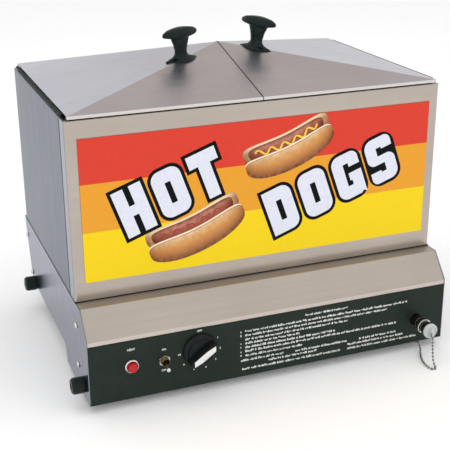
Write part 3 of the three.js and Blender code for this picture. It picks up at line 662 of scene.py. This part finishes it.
def add_seam_lines():
    """Thin black beads along the seams between the sheets, and a black strip that paints the shadow of
    the gap where the lids meet.
    """
    black_rubber = FINISH["rubber"]
    side_low, side_high = box_mm("cabinet_left_panel")
    front_high = box_mm("cabinet_front_panel")[1]
    edge, front, foot, wrap = front_high.x, -0.1, side_low.z - 0.3, front_high.y + 0.3
    runs = [((-edge, front, foot), (edge, front, foot), 0.8)]
    for x in (-edge, edge):
        runs.append(((x, front, foot), (x, side_high.y, foot), 0.7))
        runs.append(((x, wrap, foot), (x, wrap, side_high.z - 0.5), 0.4))
    beads = [swept([at(*start), at(*end)], radius * MM, 12) for start, end, radius in runs]
    add_piece("seam_dark_beads", merge(*beads), black_rubber, "cabinet", "rubber")

    # The black strip, a painted shadow of the gap between the lids, runs up and down the ridge where
    # they meet, sunk into it a little.
    low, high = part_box("left_lid")
    sunk, lip = 0.2 * MM, low.z + LID_LIP * MM
    ridge = ((low.y, lip), ((low.y + high.y) / 2, high.z), (high.y, lip))
    line = [Vector((high.x, y, z - sunk)) for y, z in ridge]
    add_piece("lid_seam_shadow_strip", swept(line, 0.8 * MM, 12), black_rubber, "left_lid", "rubber")


# ---- small fittings


def add_screws():
    """Slotted pan-head screws on both sides of the base and the rear cover."""
    screws = [node for node in frame["nodes"] if node.endswith("_screw") and "handle" not in node]
    head_height = 2.8 * MM
    for index, node in enumerate(sorted(screws)):
        low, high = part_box(node)
        outward = -1 if "left" in node else 1
        seat = middle(node)
        seat.x = high.x - head_height if outward > 0 else low.x + head_height
        place = facing(seat, (outward, 0, 0), 25 + 47 * index)
        head = turned([(0, -6), (1.6, -6, 0.4), (1.6, 0.3), (4.2, 0.3, 0.3), (4.1, 1.4, 0.9),
                       (2.9, 2.45, 1.5), (0, 2.7)], 40)
        slot = slab(box_loop(-0.55, -3.1, 0.55, 3.1), 1.7, 2.76, 0.1, 1)
        stand_in(node, placed(head, place))
        add_piece(
            node + "_slot", placed(slot, place), FINISH["drain_dark"], BODY_OF[node],
            "bright_metal")


def rubber_foot(length, ribs):
    """A moulded rubber foot with its seat at height 0, ribs round its flank and a hollow end."""
    radius, rib_depth = 11, 0.045
    mesh = turned([
        (0, 0), (radius - 0.4, 0, 0.6), (radius, 3.2, 0.8), (radius, length - 3, 2.2),
        (radius - 2, length, 1), (4, length, 0.8), (4, length - 4.7, 0.6), (0, length - 4.7),
    ], 24 * ribs or 64)
    if ribs:
        for vertex in mesh.verts:
            if vertex.co.xy.length > (radius - 0.9) * MM and vertex.co.z > 3.5 * MM:
                wave = 0.5 + 0.5 * math.cos(ribs * math.atan2(vertex.co.y, vertex.co.x))
                vertex.co.xy *= 1 - rib_depth * wave ** 2
    return mesh


def add_feet():
    """Feet that stand down, bumpers that stand out to the left, and the pads under the lids."""
    for end in ("front", "rear"):
        for node, axis, ribs in (
            (f"foot_{end}_left", 2, 0), (f"foot_{end}_right", 2, 0), (f"side_bumper_{end}", 0, 14),
        ):
            low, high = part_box(node)
            seat, outward = middle(node), Vector((0, 0, 0))
            seat[axis], outward[axis] = high[axis], -1
            foot = rubber_foot((high - low)[axis] / MM, ribs)
            stand_in(node, placed(foot, facing(seat, outward)))
    for side in ("left", "center", "right"):
        node = f"lid_rest_{side}"
        low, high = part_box(node)
        height, seat = (high.z - low.z) / MM, middle(node)
        seat.z = low.z
        pad = turned([(0, 0), (3.5, 0, 0.2), (3.5, height, 0.5), (0, height)], 32)
        stand_in(node, placed(pad, Matrix.Translation(seat)))


COVER_FOOT_OUT, COVER_HEIGHT = 31, 99  # mm, the leaning rear cover
GLAND_X, GLAND_Z = -200, 62


def add_gland():
    """The capped bush for the supply cord, square to the rear cover."""
    lean = math.atan2(COVER_FOOT_OUT, COVER_HEIGHT)
    axis = Vector((0, math.cos(lean), -math.sin(lean)))
    centre = at(GLAND_X, 0, GLAND_Z)
    centre.y = middle("cord_gland").y
    gland = turned([
        (0, -8), (7.5, -8, 0.5), (7.5, 0.3), (12, 0.3, 0.4), (12, 4, 0.8), (9.5, 6, 1),
        (8.5, 14, 1.2), (4.5, 14, 0.6), (4.5, 11, 0.4), (0, 11),
    ], 48)
    stand_in("cord_gland", placed(gland, facing(centre - axis * 3 * MM, axis)))


# ---- control panel

PANEL_FRONT = box_mm("control_panel")[0].y


def on_panel(x, z, out=0.0):
    """Local Z stands out of the panel's face at (x, z), in mm."""
    return facing(at(x, PANEL_FRONT - out, z), FRONT)


def add_lamp():
    spot = in_mm(middle("pilot_lamp_bezel"))
    place = on_panel(spot.x, spot.z)
    bezel = turned([
        (6, -14), (7.7, -14), (7.7, 0.3), (9.75, 0.3, 0.3), (9.75, 1.0, 0.4), (9.3, 2.2, 0.6),
        (8.2, 3.4, 0.4), (7.5, 2.8, 0.2), (7.3, -3.6), (6, -3.6),
    ], closed=True)
    stand_in("pilot_lamp_bezel", placed(bezel, place))
    lens = turned([
        (0, -3.4), (6.9, -3.4), (6.9, 4.6, 1.2), (6.2, 7.8, 2.4), (3.8, 9.4, 3.0), (0, 9.9),
    ])
    stand_in("pilot_lamp_lens", placed(lens, place))


TOGGLE_TILT = math.radians(18)  # of the lever below level at rest


def add_toggle():
    """The switch's body with its threaded bushing, and its lever."""
    spot = in_mm(middle("toggle_nut"))
    crest, root = 5.8, 5.45
    bushing = [(0, -1.5), (3.3, -0.5), (4.7, 8.0, 0.3), (5.4, 8.0, 0.4), (crest, 7.2, 0.3)]
    for thread in range(6):
        height = 6.4 - thread
        bushing += [(root, height + 0.5), (crest, height)]
    neck = turned([*bushing, (crest, -6), (0, -6)], 48)
    body = slab(box_loop(-6.5, -14, 6.5, 14), -25.2, -5.6, 0.8)
    stand_in("toggle_switch_body", placed(merge(neck, body), on_panel(spot.x, spot.z)))

    lever = turned([
        (0, -1.5), (1.5, -1.5, 0.3), (1.5, 3, 1), (1.7, 6, 2), (2.6, 13.5, 4), (3.0, 16.8, 1.6),
        (2.3, 18.6, 1.2), (0, 19.0),
    ], 40)
    axis = (0, -math.cos(TOGGLE_TILT), -math.sin(TOGGLE_TILT))
    stand_in("toggle_lever", placed(lever, facing(JOINT_PLACE["toggle_throw"], axis)))


KNOB_POINTER = 35  # degrees from the right to the bar's narrow end at rest


def add_knob():
    """The knob: a dished skirt, a bar across it and the bar's bright insert."""
    centre = JOINT_PLACE["thermostat_turn"].copy()
    centre.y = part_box("thermostat_knob")[1].y
    place = facing(centre, FRONT, KNOB_POINTER)
    skirt = turned([
        (0, 1.8), (20, 1.8), (22, 0, 0.3), (23.5, 0, 0.4), (23.5, 2.3, 0.7), (22.3, 3.9, 1.4),
        (18.6, 5.4, 2.0), (17.2, 9.6, 1.6), (10, 10.4), (0, 10.6),
    ], 96)
    bar = soften([
        (-21.5, -3.2, 2.4), (-18.5, -6.1, 2.6), (16.5, -6.1, 3), (21.4, -2.6, 2), (21.4, 2.6, 2),
        (16.5, 6.1, 3), (-18.5, 6.1, 2.6), (-21.5, 3.2, 2.4),
    ])
    grip = slab(bar, 4, 20.9, 1.3, 4)
    # The bar's flanks lean in towards its top.
    for vertex in grip.verts:
        height = max(0.0, vertex.co.z / MM - 6) / 15
        vertex.co.y *= 1 - 0.16 * height
    stand_in("thermostat_knob", placed(merge(skirt, grip), place), knob_black)

    insert = slab(soften([
        (-19.5, -2.2, 0.5), (-7, -4.1, 2), (15, -4.1, 1), (19.5, 2.2, 0.5), (7, 4.1, 2),
        (-15, 4.1, 1),
    ]), 20.7, 21.2, 0.12, 2)
    foil = steel("knob_insert", (0.86, 0.86, 0.87), "x")
    add_piece(
        "thermostat_knob_insert", placed(insert, place), foil, "thermostat_knob", "bright_metal")


# ---- lettering


def flat_shape(loops, thickness, grow=0.0):
    """A thin solid from closed (u, v) loops in mm; a loop inside another is a hole."""
    curve = bpy.data.curves.new("flat", "CURVE")
    curve.dimensions = "2D"
    curve.fill_mode = "BOTH"
    curve.extrude = thickness / 2 * MM
    curve.offset = grow * MM
    for loop in loops:
        spline = curve.splines.new("POLY")
        spline.points.add(len(loop) - 1)
        for target, (u, v) in zip(spline.points, loop):
            target.co = (u * MM, v * MM, 0, 1)
        spline.use_cyclic_u = True
    return curve_mesh(curve)


def curve_mesh(curve):
    """The bmesh of a curve or text, which is then removed."""
    carrier = add_object("carrier", curve)
    evaluated = carrier.evaluated_get(bpy.context.evaluated_depsgraph_get())
    mesh = bmesh.new()
    mesh.from_mesh(evaluated.to_mesh())
    evaluated.to_mesh_clear()
    bpy.data.objects.remove(carrier)
    bmesh.ops.remove_doubles(mesh, verts=mesh.verts, dist=1e-6)
    return mesh


INK = 0.12  # mm, how thick the panel print stands
CAPITAL = 1.38  # the text's size over the height of its capitals


def words(text, height):
    """Plain block text, centred on the local origin, its capitals height mm high."""
    curve = bpy.data.curves.new("words", "FONT")
    curve.body = text
    curve.size = height * CAPITAL * MM
    curve.align_x = curve.align_y = "CENTER"
    curve.extrude = INK / 2 * MM
    curve.offset = 0.06 * MM
    return curve_mesh(curve)


# Rows of unreadable print: height above the counter, and where the row starts and ends.
PRINT_ROWS = (
    (87.0, 42, 106), (79.3, -46, 200), (73.3, -46, 168), (67.2, -46, 106), (61.4, -46, 34),
    (55.5, -46, 88), (49.7, -46, 184), (43.2, -46, 38), (36.2, -52, 13), (35.6, 28, 110),
    (35.4, 126, 184), (29.6, 108, 199), (30.2, -12, 61), (23.2, 108, 217), (23.2, -50, 98),
)
NUMBERED_ROWS = PRINT_ROWS[1:3] + PRINT_ROWS[4:8]


def dashes(row_list, seed):
    """Rows of small pale marks in word-like groups, with no letters among them."""
    draw = random.Random(seed)
    mesh = bmesh.new()
    mark_gap, word_gap, half_height = 0.6, 1.5, 1.3
    for z, start, end in row_list:
        x = start
        while x < end - 2:
            for _ in range(draw.randint(2, 9)):
                if x > end - 1:
                    break
                width = draw.uniform(0.7, 1.3)
                lift = draw.choice((0, 0, 0, 1.0))
                top, foot = draw.choice((2.0, 2.3, 3.2)), z - half_height
                merge(mesh, slab(box_loop(x, foot + lift, x + width, foot + top), 0, INK))
                x += width + mark_gap
            x += word_gap
    return mesh


def add_panel_print():
    """The pale print: generic labels round the controls and unreadable rows to the right."""
    lamp, toggle = in_mm(middle("pilot_lamp_bezel")), in_mm(middle("toggle_nut"))
    knob = in_mm(JOINT_PLACE["thermostat_turn"])
    labels = [
        ("HEAT", lamp.x, lamp.z + 23.5, 3.0), ("ON", toggle.x, toggle.z + 15.5, 2.6),
        ("OFF", toggle.x - 1, toggle.z - 14.6, 2.6), ("OFF", knob.x, knob.z + 27.6, 2.8),
    ]
    first, step, reach = 28, 34, 28.4  # degrees of the dial's 1 and between marks, mm from its axis
    for index, mark in enumerate(("1", "2", "3", "4", "5", "6", "HI")):
        angle = math.radians(first - step * index)
        place = knob.x + reach * math.cos(angle), knob.z + reach * math.sin(angle)
        labels.append((mark, *place, 2.9))
    parts = [
        placed(words(text, height), on_panel(x, z, out=INK / 2)) for text, x, z, height in labels
    ]
    numbers = [(z, -52.6, -50.4) for z, _, _ in NUMBERED_ROWS]
    for rows, seed in ((PRINT_ROWS, 7), (numbers, 3)):
        parts.append(placed(dashes(rows, seed), on_panel(0, 0)))
    ink = printed("panel_ink", (0.90, 0.91, 0.90), 0.5)
    add_piece("control_panel_print", merge(*parts), ink, "cabinet", "panel_black")


# ---- sign

SIGN_FRONT = box_mm("sign_panel")[0].y
LINE_TURN = 19.5  # degrees that the words and the drawings climb
# A letter's width, height, stem, corner radius, border and distance to the next one, in mm.
WIDE, HIGH, STEM, ROUND, BORDER, PITCH = 41.0, 66.0, 16.5, 13.0, 4.6, 52.5


def on_sign(x, z):
    """Local Z stands out of the sign's face at (x, z), in mm, and local X climbs with the words."""
    return facing(at(x, SIGN_FRONT, z), FRONT, LINE_TURN)


def letter_loops():
    """Each letter as (border, outside, holes) in its own cell, drawn from heavy strokes.

    The border is the dark shape behind the letter before it grows, with open slots filled in."""
    w, h, s, big = WIDE, HIGH, STEM, ROUND
    mid, bar = h / 2, 15.0
    block, rounded = box_loop(0, 0, w, h), box_loop(0, 0, w, h, big)
    slot = box_loop(s, bar + 3, w - s, h - bar - 3, 0.8)
    tee = [(12, 0), (w - 12, 0), (w - 12, h - 18), (w, h - 18), (w, h), (0, h), (0, h - 18),
           (12, h - 18)]
    dee = soften([(0, 0), (w, 0, big), (w, h, big), (0, h)])
    return {
        "H": (block, [
            (0, 0), (s, 0), (s, mid - 7), (w - s, mid - 7), (w - s, 0), (w, 0), (w, h), (w - s, h),
            (w - s, mid + 7), (s, mid + 7), (s, h), (0, h),
        ], []),
        "O": (rounded, rounded, [slot]),
        "T": (tee, tee, []),
        "D": (dee, dee, [slot]),
        "G": (rounded, soften([
            (0, 0, big), (w - 8, 0, 3), (w - 5, 3), (w, 0), (w, mid + 3), (s + 5, mid + 3),
            (s + 5, mid - 8), (w - s, mid - 8), (w - s, bar + 3), (s, bar + 3), (s, h - bar),
            (w - s, h - bar), (w - s, mid + 12), (w, mid + 12), (w, h, big), (0, h, big),
        ]), []),
        "S": (rounded, soften([
            (0, 0, big), (w, 0, big), (w, mid + 6, big * 0.8), (s, mid + 6), (s, h - bar),
            (w - s, h - bar), (w - s, mid + 15), (w, mid + 15), (w, h, big), (0, h, big),
            (0, mid - 6, big * 0.8), (w - s, mid - 6), (w - s, bar), (s, bar), (s, mid - 15),
            (0, mid - 15),
        ]), []),
    }


def add_letters():
    """The generic words on the sign, in this model's own block letters."""
    face = printed("letter_face", (0.72, 0.74, 0.84))
    border = printed("letter_border", (0.003, 0.004, 0.004))
    loops = letter_loops()
    fronts, backs, layer = [], [], 0.1
    for text, u, v in (("HOT", -185.5, 214.5), ("DOGS", 18, 187)):
        line = on_sign(u, v)
        for index, letter in enumerate(text):
            cell = line @ Matrix.Translation((index * PITCH * MM, 0, layer / 2 * MM))
            above = cell @ Matrix.Translation((0, 0, layer * MM))
            behind, outside, holes = loops[letter]
            backs.append(placed(flat_shape([behind], layer, BORDER), cell))
            fronts.append(placed(flat_shape([outside, *holes], layer), above))
    add_piece("sign_letter_borders", merge(*backs), border, "cabinet", "sign_print")
    add_piece("sign_letter_faces", merge(*fronts), face, "cabinet", "sign_print")


def bent_lozenge(length, width, rise, sag, high, blunt):
    """A flat rounded bar with a bowed middle line; its uv map runs along and across it.

    rise lifts the ends above the middle, sag lowers the whole, high is how far it stands out of
    the sign, and its ends are rounder the smaller blunt is."""
    columns, rows = 64, 20
    mesh = bmesh.new()
    uv = mesh.loops.layers.uv.new("body")
    grid = []
    for i in range(columns + 1):
        reach = math.sin((2 * i / columns - 1) * math.pi / 2)
        u = reach * length / 2
        half = width / 2 * max(0.0, 1 - abs(reach) ** blunt) ** (1 / blunt)
        centre = rise * reach ** 2 - sag
        column = []
        for j in range(rows + 1):
            v = centre + half * (2 * j / rows - 1)
            vertex = mesh.verts.new((u * MM, v * MM, high * MM))
            column.append((vertex, (u / length + 0.5, j / rows)))
        grid.append(column)
    for left, right in zip(grid, grid[1:]):
        for j in range(rows):
            corners = (left[j], right[j], right[j + 1], left[j + 1])
            face = mesh.faces.new([vertex for vertex, _ in corners])
            for loop, (_, place) in zip(face.loops, corners):
                loop[uv].uv = place
    bmesh.ops.remove_doubles(mesh, verts=mesh.verts, dist=1e-6)
    edges = [edge for edge in mesh.edges if edge.is_boundary]
    rim = bmesh.ops.extrude_edge_only(mesh, edges=edges)
    for vertex in (item for item in rim["geom"] if isinstance(item, bmesh.types.BMVert)):
        vertex.co.z = 0
    return mesh


def sign_inks():
    """The inks of the two drawn hot dogs."""
    return {
        "bun": shaded_print("bun_ink", [
            (0.0, (0.09, 0.04, 0.03)), (0.12, (0.20, 0.08, 0.045)), (0.3, (0.42, 0.17, 0.065)),
            (0.55, (0.64, 0.30, 0.09)), (0.78, (0.72, 0.43, 0.18)), (0.92, (0.78, 0.56, 0.33)),
            (1.0, (0.5, 0.3, 0.16)),
        ], (0.50, 0.20, 0.06), 0.5),
        "back": shaded_print("back_bun_ink", [
            (0.0, (0.40, 0.22, 0.12)), (0.7, (0.66, 0.42, 0.22)), (0.92, (0.92, 0.80, 0.58)),
            (1.0, (0.80, 0.60, 0.36)),
        ], (0.7, 0.45, 0.2), 0.3),
        "sausage": shaded_print("sausage_ink", [
            (0.0, (0.11, 0.024, 0.015)), (0.3, (0.28, 0.07, 0.04)), (0.6, (0.43, 0.135, 0.085)),
            (0.8, (0.58, 0.26, 0.18)), (1.0, (0.22, 0.06, 0.04)),
        ], (0.20, 0.05, 0.03), 0.75),
        "crumb": printed("crumb_ink", (0.92, 0.80, 0.58)),
        "mustard": printed("mustard_ink", (0.93, 0.58, 0.06)),
        "relish": printed("relish_ink", (0.34, 0.07, 0.05)),
    }


def squiggle(length, swing, turns, width):
    """A wavy line of sauce as one closed outline."""
    steps, bow = 16 * turns, 7.0
    line = []
    for k in range(steps + 1):
        share = k / steps
        wave = swing * math.sin(2 * math.pi * turns * share)
        line.append(Vector(((share - 0.5) * length, bow * (2 * share - 1) ** 2 + wave)))
    upper, lower = [], []
    for k, point in enumerate(line):
        ahead = line[min(k + 1, steps)] - line[max(k - 1, 0)]
        out = Vector((-ahead.y, ahead.x)).normalized()
        half = width / 2 * (0.82 + 0.18 * math.cos(4 * math.pi * turns * k / steps))
        upper.append(point + out * half)
        lower.append(point - out * half)
    return upper + lower[::-1]


def add_drawn_hot_dog(name, u, v, scale, sauce, inks):
    """One flat drawing of a hot dog: back bun, sausage, sauce, crumb edge and front bun."""
    place = on_sign(u, v) @ Matrix.Diagonal((scale, scale, 1, 1))
    wave = flat_shape([squiggle(98, 3.8, 5, 3.0)], 0.06)
    layers = [
        ("back_bun", bent_lozenge(134, 35, 10, -7.5, 0.10, 3.4), inks["back"]),
        ("sausage", bent_lozenge(118, 27, 8.5, -8.5, 0.16, 3.0), inks["sausage"]),
        ("sauce", placed(wave, Matrix.Translation((0, 9.5 * MM, 0.19 * MM))), inks[sauce]),
        ("crumb", bent_lozenge(137, 34, 11, 11.5, 0.26, 3.4), inks["crumb"]),
        ("front_bun", bent_lozenge(138, 33, 11, 13.0, 0.32, 3.4), inks["bun"]),
    ]
    for layer, mesh, ink in layers:
        add_piece(f"sign_{name}_{layer}", placed(mesh, place), ink, "cabinet", "sign_print")


def add_sign_art():
    inks = sign_inks()
    add_drawn_hot_dog("lower_hot_dog", -94, 212, 1.0, "relish", inks)
    add_drawn_hot_dog("upper_hot_dog", 37, 308, 0.95, "mustard", inks)
    add_letters()


# ---- drain

PLUG_FACE = 89.6  # mm, the plug's dished face, forward of the cabinet's front


def add_drain():
    """The spout, its collar, the plug with its eye and the plug's rubber neck.

    The heights of their outlines are distances forward of the cabinet's front."""
    spot = in_mm(middle("drain_collar"))
    place = facing(at(spot.x, 0, spot.z), FRONT)
    pipe = turned([
        (6.3, -12), (8.5, -12), (8.5, 58, 0.3), (8.9, 59, 0.4), (8.9, 62, 0.4), (8.5, 63, 0.3),
        (8.5, 79.7, 0.5), (6.3, 79.7, 0.3),
    ], closed=True)
    collar = turned([(8.8, 69.7), (10.5, 69.7, 0.6), (10.5, 73.7, 0.6), (8.8, 73.7)], closed=True)
    plug = turned([
        (0, 79.9), (10.1, 79.9, 0.4), (10.1, 86.1), (10.6, 86.3, 0.3), (10.6, 89.4, 0.7),
        (9.8, 90.1, 0.5), (8.2, 90.2, 0.3), (7.8, PLUG_FACE, 0.3), (0, PLUG_FACE),
    ])
    neck = turned([
        (0, 58), (5.3, 58, 0.8), (6, 75), (6, 79.8, 0.3), (10.3, 79.8, 0.5), (10.4, 82.2, 0.8),
        (10.3, 86.15, 0.5), (0, 86.15),
    ])
    stand_in("drain_pipe", placed(pipe, place))
    stand_in("drain_collar", placed(collar, place))
    stand_in("drain_plug", merge(placed(plug, place), eye_plate(spot)))
    add_piece("drain_plug_neck", placed(neck, place), FINISH["rubber"], "drain_plug", "rubber")


def eye_plate(spot):
    """The upright tab on the plug's face, with the hole that the chain's ring goes through."""
    tab = soften([
        (0, -5.5, 1), (0, 4.5, 2.5), (4.5, 4.5, 2.5), (7, 1, 2), (7, -6, 2.5), (3, -6, 2),
    ])
    hole = [(3.8 + 1.7 * math.cos(a), -2.2 + 1.7 * math.sin(a)) for a in round_angles(24)]
    # The outline's u stands out of the plug and its v is up.
    basis = Matrix(((0, 0, 1, 0), (-1, 0, 0, 0), (0, 1, 0, 0), (0, 0, 0, 1)))
    place = Matrix.Translation(at(spot.x, -PLUG_FACE, spot.z)) @ basis
    return placed(flat_shape([tab, hole], 2.4), place)


# ---- handles

HANDLE_TURN = {"left": 8, "right": -43}  # degrees
SCREW_REACH = 16  # mm, from a handle's foot to the top of its screw


def hip_direction(side):
    """Out of the roof on a front hip, from the slopes of the two facets that meet there."""
    low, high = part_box(f"{side}_lid")
    rise = high.z - low.z - LID_LIP * MM
    lean_x = rise / (high.x - low.x) / 2
    lean_y = rise / (high.y - low.y)
    return Vector(((-lean_x if side == "left" else lean_x), -lean_y, 1)).normalized()


def add_handles():
    """Moulded T handles: an oval flange, a waisted stem and a domed grip like a flat lens."""
    handle_profile = [
        (0, -2.4), (21.8, -2.4), (23.3, -1.4, 0.6), (23.3, 0.2, 0.6), (20.4, 1.4, 3),
        (12.6, 4.2, 6), (8.9, 8.2, 5), (8.6, 12.5, 8), (10.4, 22, 10), (13.6, 30.4, 3),
        (17, 32.4, 3), (21.5, 33.0, 3), (24.6, 34.0, 1.2), (25.6, 36.0, 1.2), (24.9, 38.6, 2),
        (20, 41.8, 8), (10, 43.9, 10), (0, 44.4),
    ]
    screw_profile = [
        (0, -5.6), (3.6, -5.6, 0.8), (5, -4.2, 0.8), (5, -2.6, 0.3), (2.5, -2.6),
        (2.5, SCREW_REACH), (0, SCREW_REACH),
    ]

    def squash(height):
        """Lens-shaped at the flange, nearly round at the waist and long and flat at the grip."""
        flange, grip = max(0.0, 1 - height / 9), min(1.0, max(0.0, (height - 22.5) / 10))
        return 0.78 - 0.26 * flange - 0.28 * grip * grip * (3 - 2 * grip), max(flange, 0.45 * grip)

    for side in ("left", "right"):
        screw = f"{side}_handle_screw"
        axis, centre = hip_direction(side), middle(screw)
        # The screw's top, measured along its axis from the middle of its box.
        top = max((v.co - centre).dot(axis) for v in frame["nodes"][screw].data.vertices)
        seat = centre + axis * (top - SCREW_REACH * MM)
        lean = Vector((0, 0, 1)).rotation_difference(axis).to_matrix().to_4x4()
        turn = Matrix.Rotation(math.radians(HANDLE_TURN[side]), 4, "Z")
        place = Matrix.Translation(seat) @ lean @ turn
        stand_in(f"{side}_lid_handle", placed(turned(handle_profile, 96, squash=squash), place))
        stand_in(screw, placed(turned(screw_profile, 40), place))


# ---- inside


def add_heater():
    """The sheathed heating element: two legs joined by a bow at the back."""
    low, high = box_mm("heating_element")
    radius = (high.z - low.z) / 2
    reach, level = high.x - radius, (low.z + high.z) / 2
    bow, steps = 35.0, 32
    leg_end = high.y - radius - bow
    points = [at(-reach, low.y, level), at(-reach, leg_end, level)]
    for k in range(1, steps):
        angle = math.pi * (1 - k / steps)
        points.append(at(reach * math.cos(angle), leg_end + bow * math.sin(angle), level))
    points += [at(reach, leg_end, level), at(reach, low.y, level)]
    stand_in("heating_element", swept(points, radius * MM, 20))


# ---- floor and lights


def add_floor():
    paint = Paint("floor", roughness=0.9, Specular_IOR_Level=0.1)
    cloud = paint.noise(1.5, 2.0)
    tint = paint.mix(paint.spread(cloud, 0.0, 1.0), (0.955, 0.955, 0.955), (0.965, 0.965, 0.965))
    paint.use(Base_Color=tint)
    mesh = bmesh.new()
    bmesh.ops.create_grid(mesh, x_segments=8, y_segments=8, size=9)
    floor = add_mesh("floor", mesh, paint.material)


def add_area_light(name, place, aim, size, watts, colour):
    data = bpy.data.lights.new(name, "AREA")
    data.shape = "RECTANGLE"
    data.size, data.size_y = size
    data.energy = watts
    data.color = colour
    light = add_object(name, data)
    light.matrix_world = facing(place, Vector(aim) - Vector(place), axis="-Z")
    light.visible_glossy = False  # the steel mirrors only the surround


DARK_PATCH = (0.34, 0.68, 0.65)  # the direction of the studio's one darker wall patch
# The surround's colour by the cosine of the angle from that direction.
SURROUND = [
    (0.78, (1.0, 1.0, 1.0)), (0.85, (0.86, 0.87, 0.90)), (0.90, (0.75, 0.76, 0.79)),
    (0.94, (0.65, 0.585, 0.56)), (0.975, (0.57, 0.475, 0.42)),
]


def add_surround():
    """A white surround with one soft darker patch, high at the back, that the lids mirror."""
    world = bpy.data.worlds.new("studio")
    world.use_nodes = True
    tree = world.node_tree
    way = add_node(tree, "TexCoord").outputs["Generated"]
    patch = Vector(DARK_PATCH).normalized()
    nearness = add_node(tree, "VectorMath", {0: way, 1: patch}, operation="DOT_PRODUCT")
    ramp = add_node(tree, "ValToRGB", {"Fac": nearness.outputs["Value"]})
    set_stops(ramp.color_ramp, SURROUND)
    tree.links.new(ramp.outputs["Color"], tree.nodes["Background"].inputs["Color"])
    bpy.context.scene.world = world


def add_studio():
    add_floor()
    add_surround()
    centre, warm = (0, 0, 0.2), (1.0, 0.99, 0.97)
    add_area_light("key", (-1.6, -2.4, 2.0), centre, (2.2, 1.6), 10, warm)
    add_area_light("fill", (1.9, -1.8, 1.4), centre, (1.8, 1.4), 4, warm)
    add_area_light("top", (0.2, 0.4, 2.8), centre, (3.2, 3.0), 18, (0.99, 0.99, 1.0))
    bpy.context.scene.view_settings.view_transform = "Standard"


add_sheets()
add_seam_lines()
add_screws()
add_feet()
add_gland()
add_lamp()
add_toggle()
add_knob()
add_panel_print()
add_sign_art()
add_drain()
add_handles()
add_heater()
add_studio()
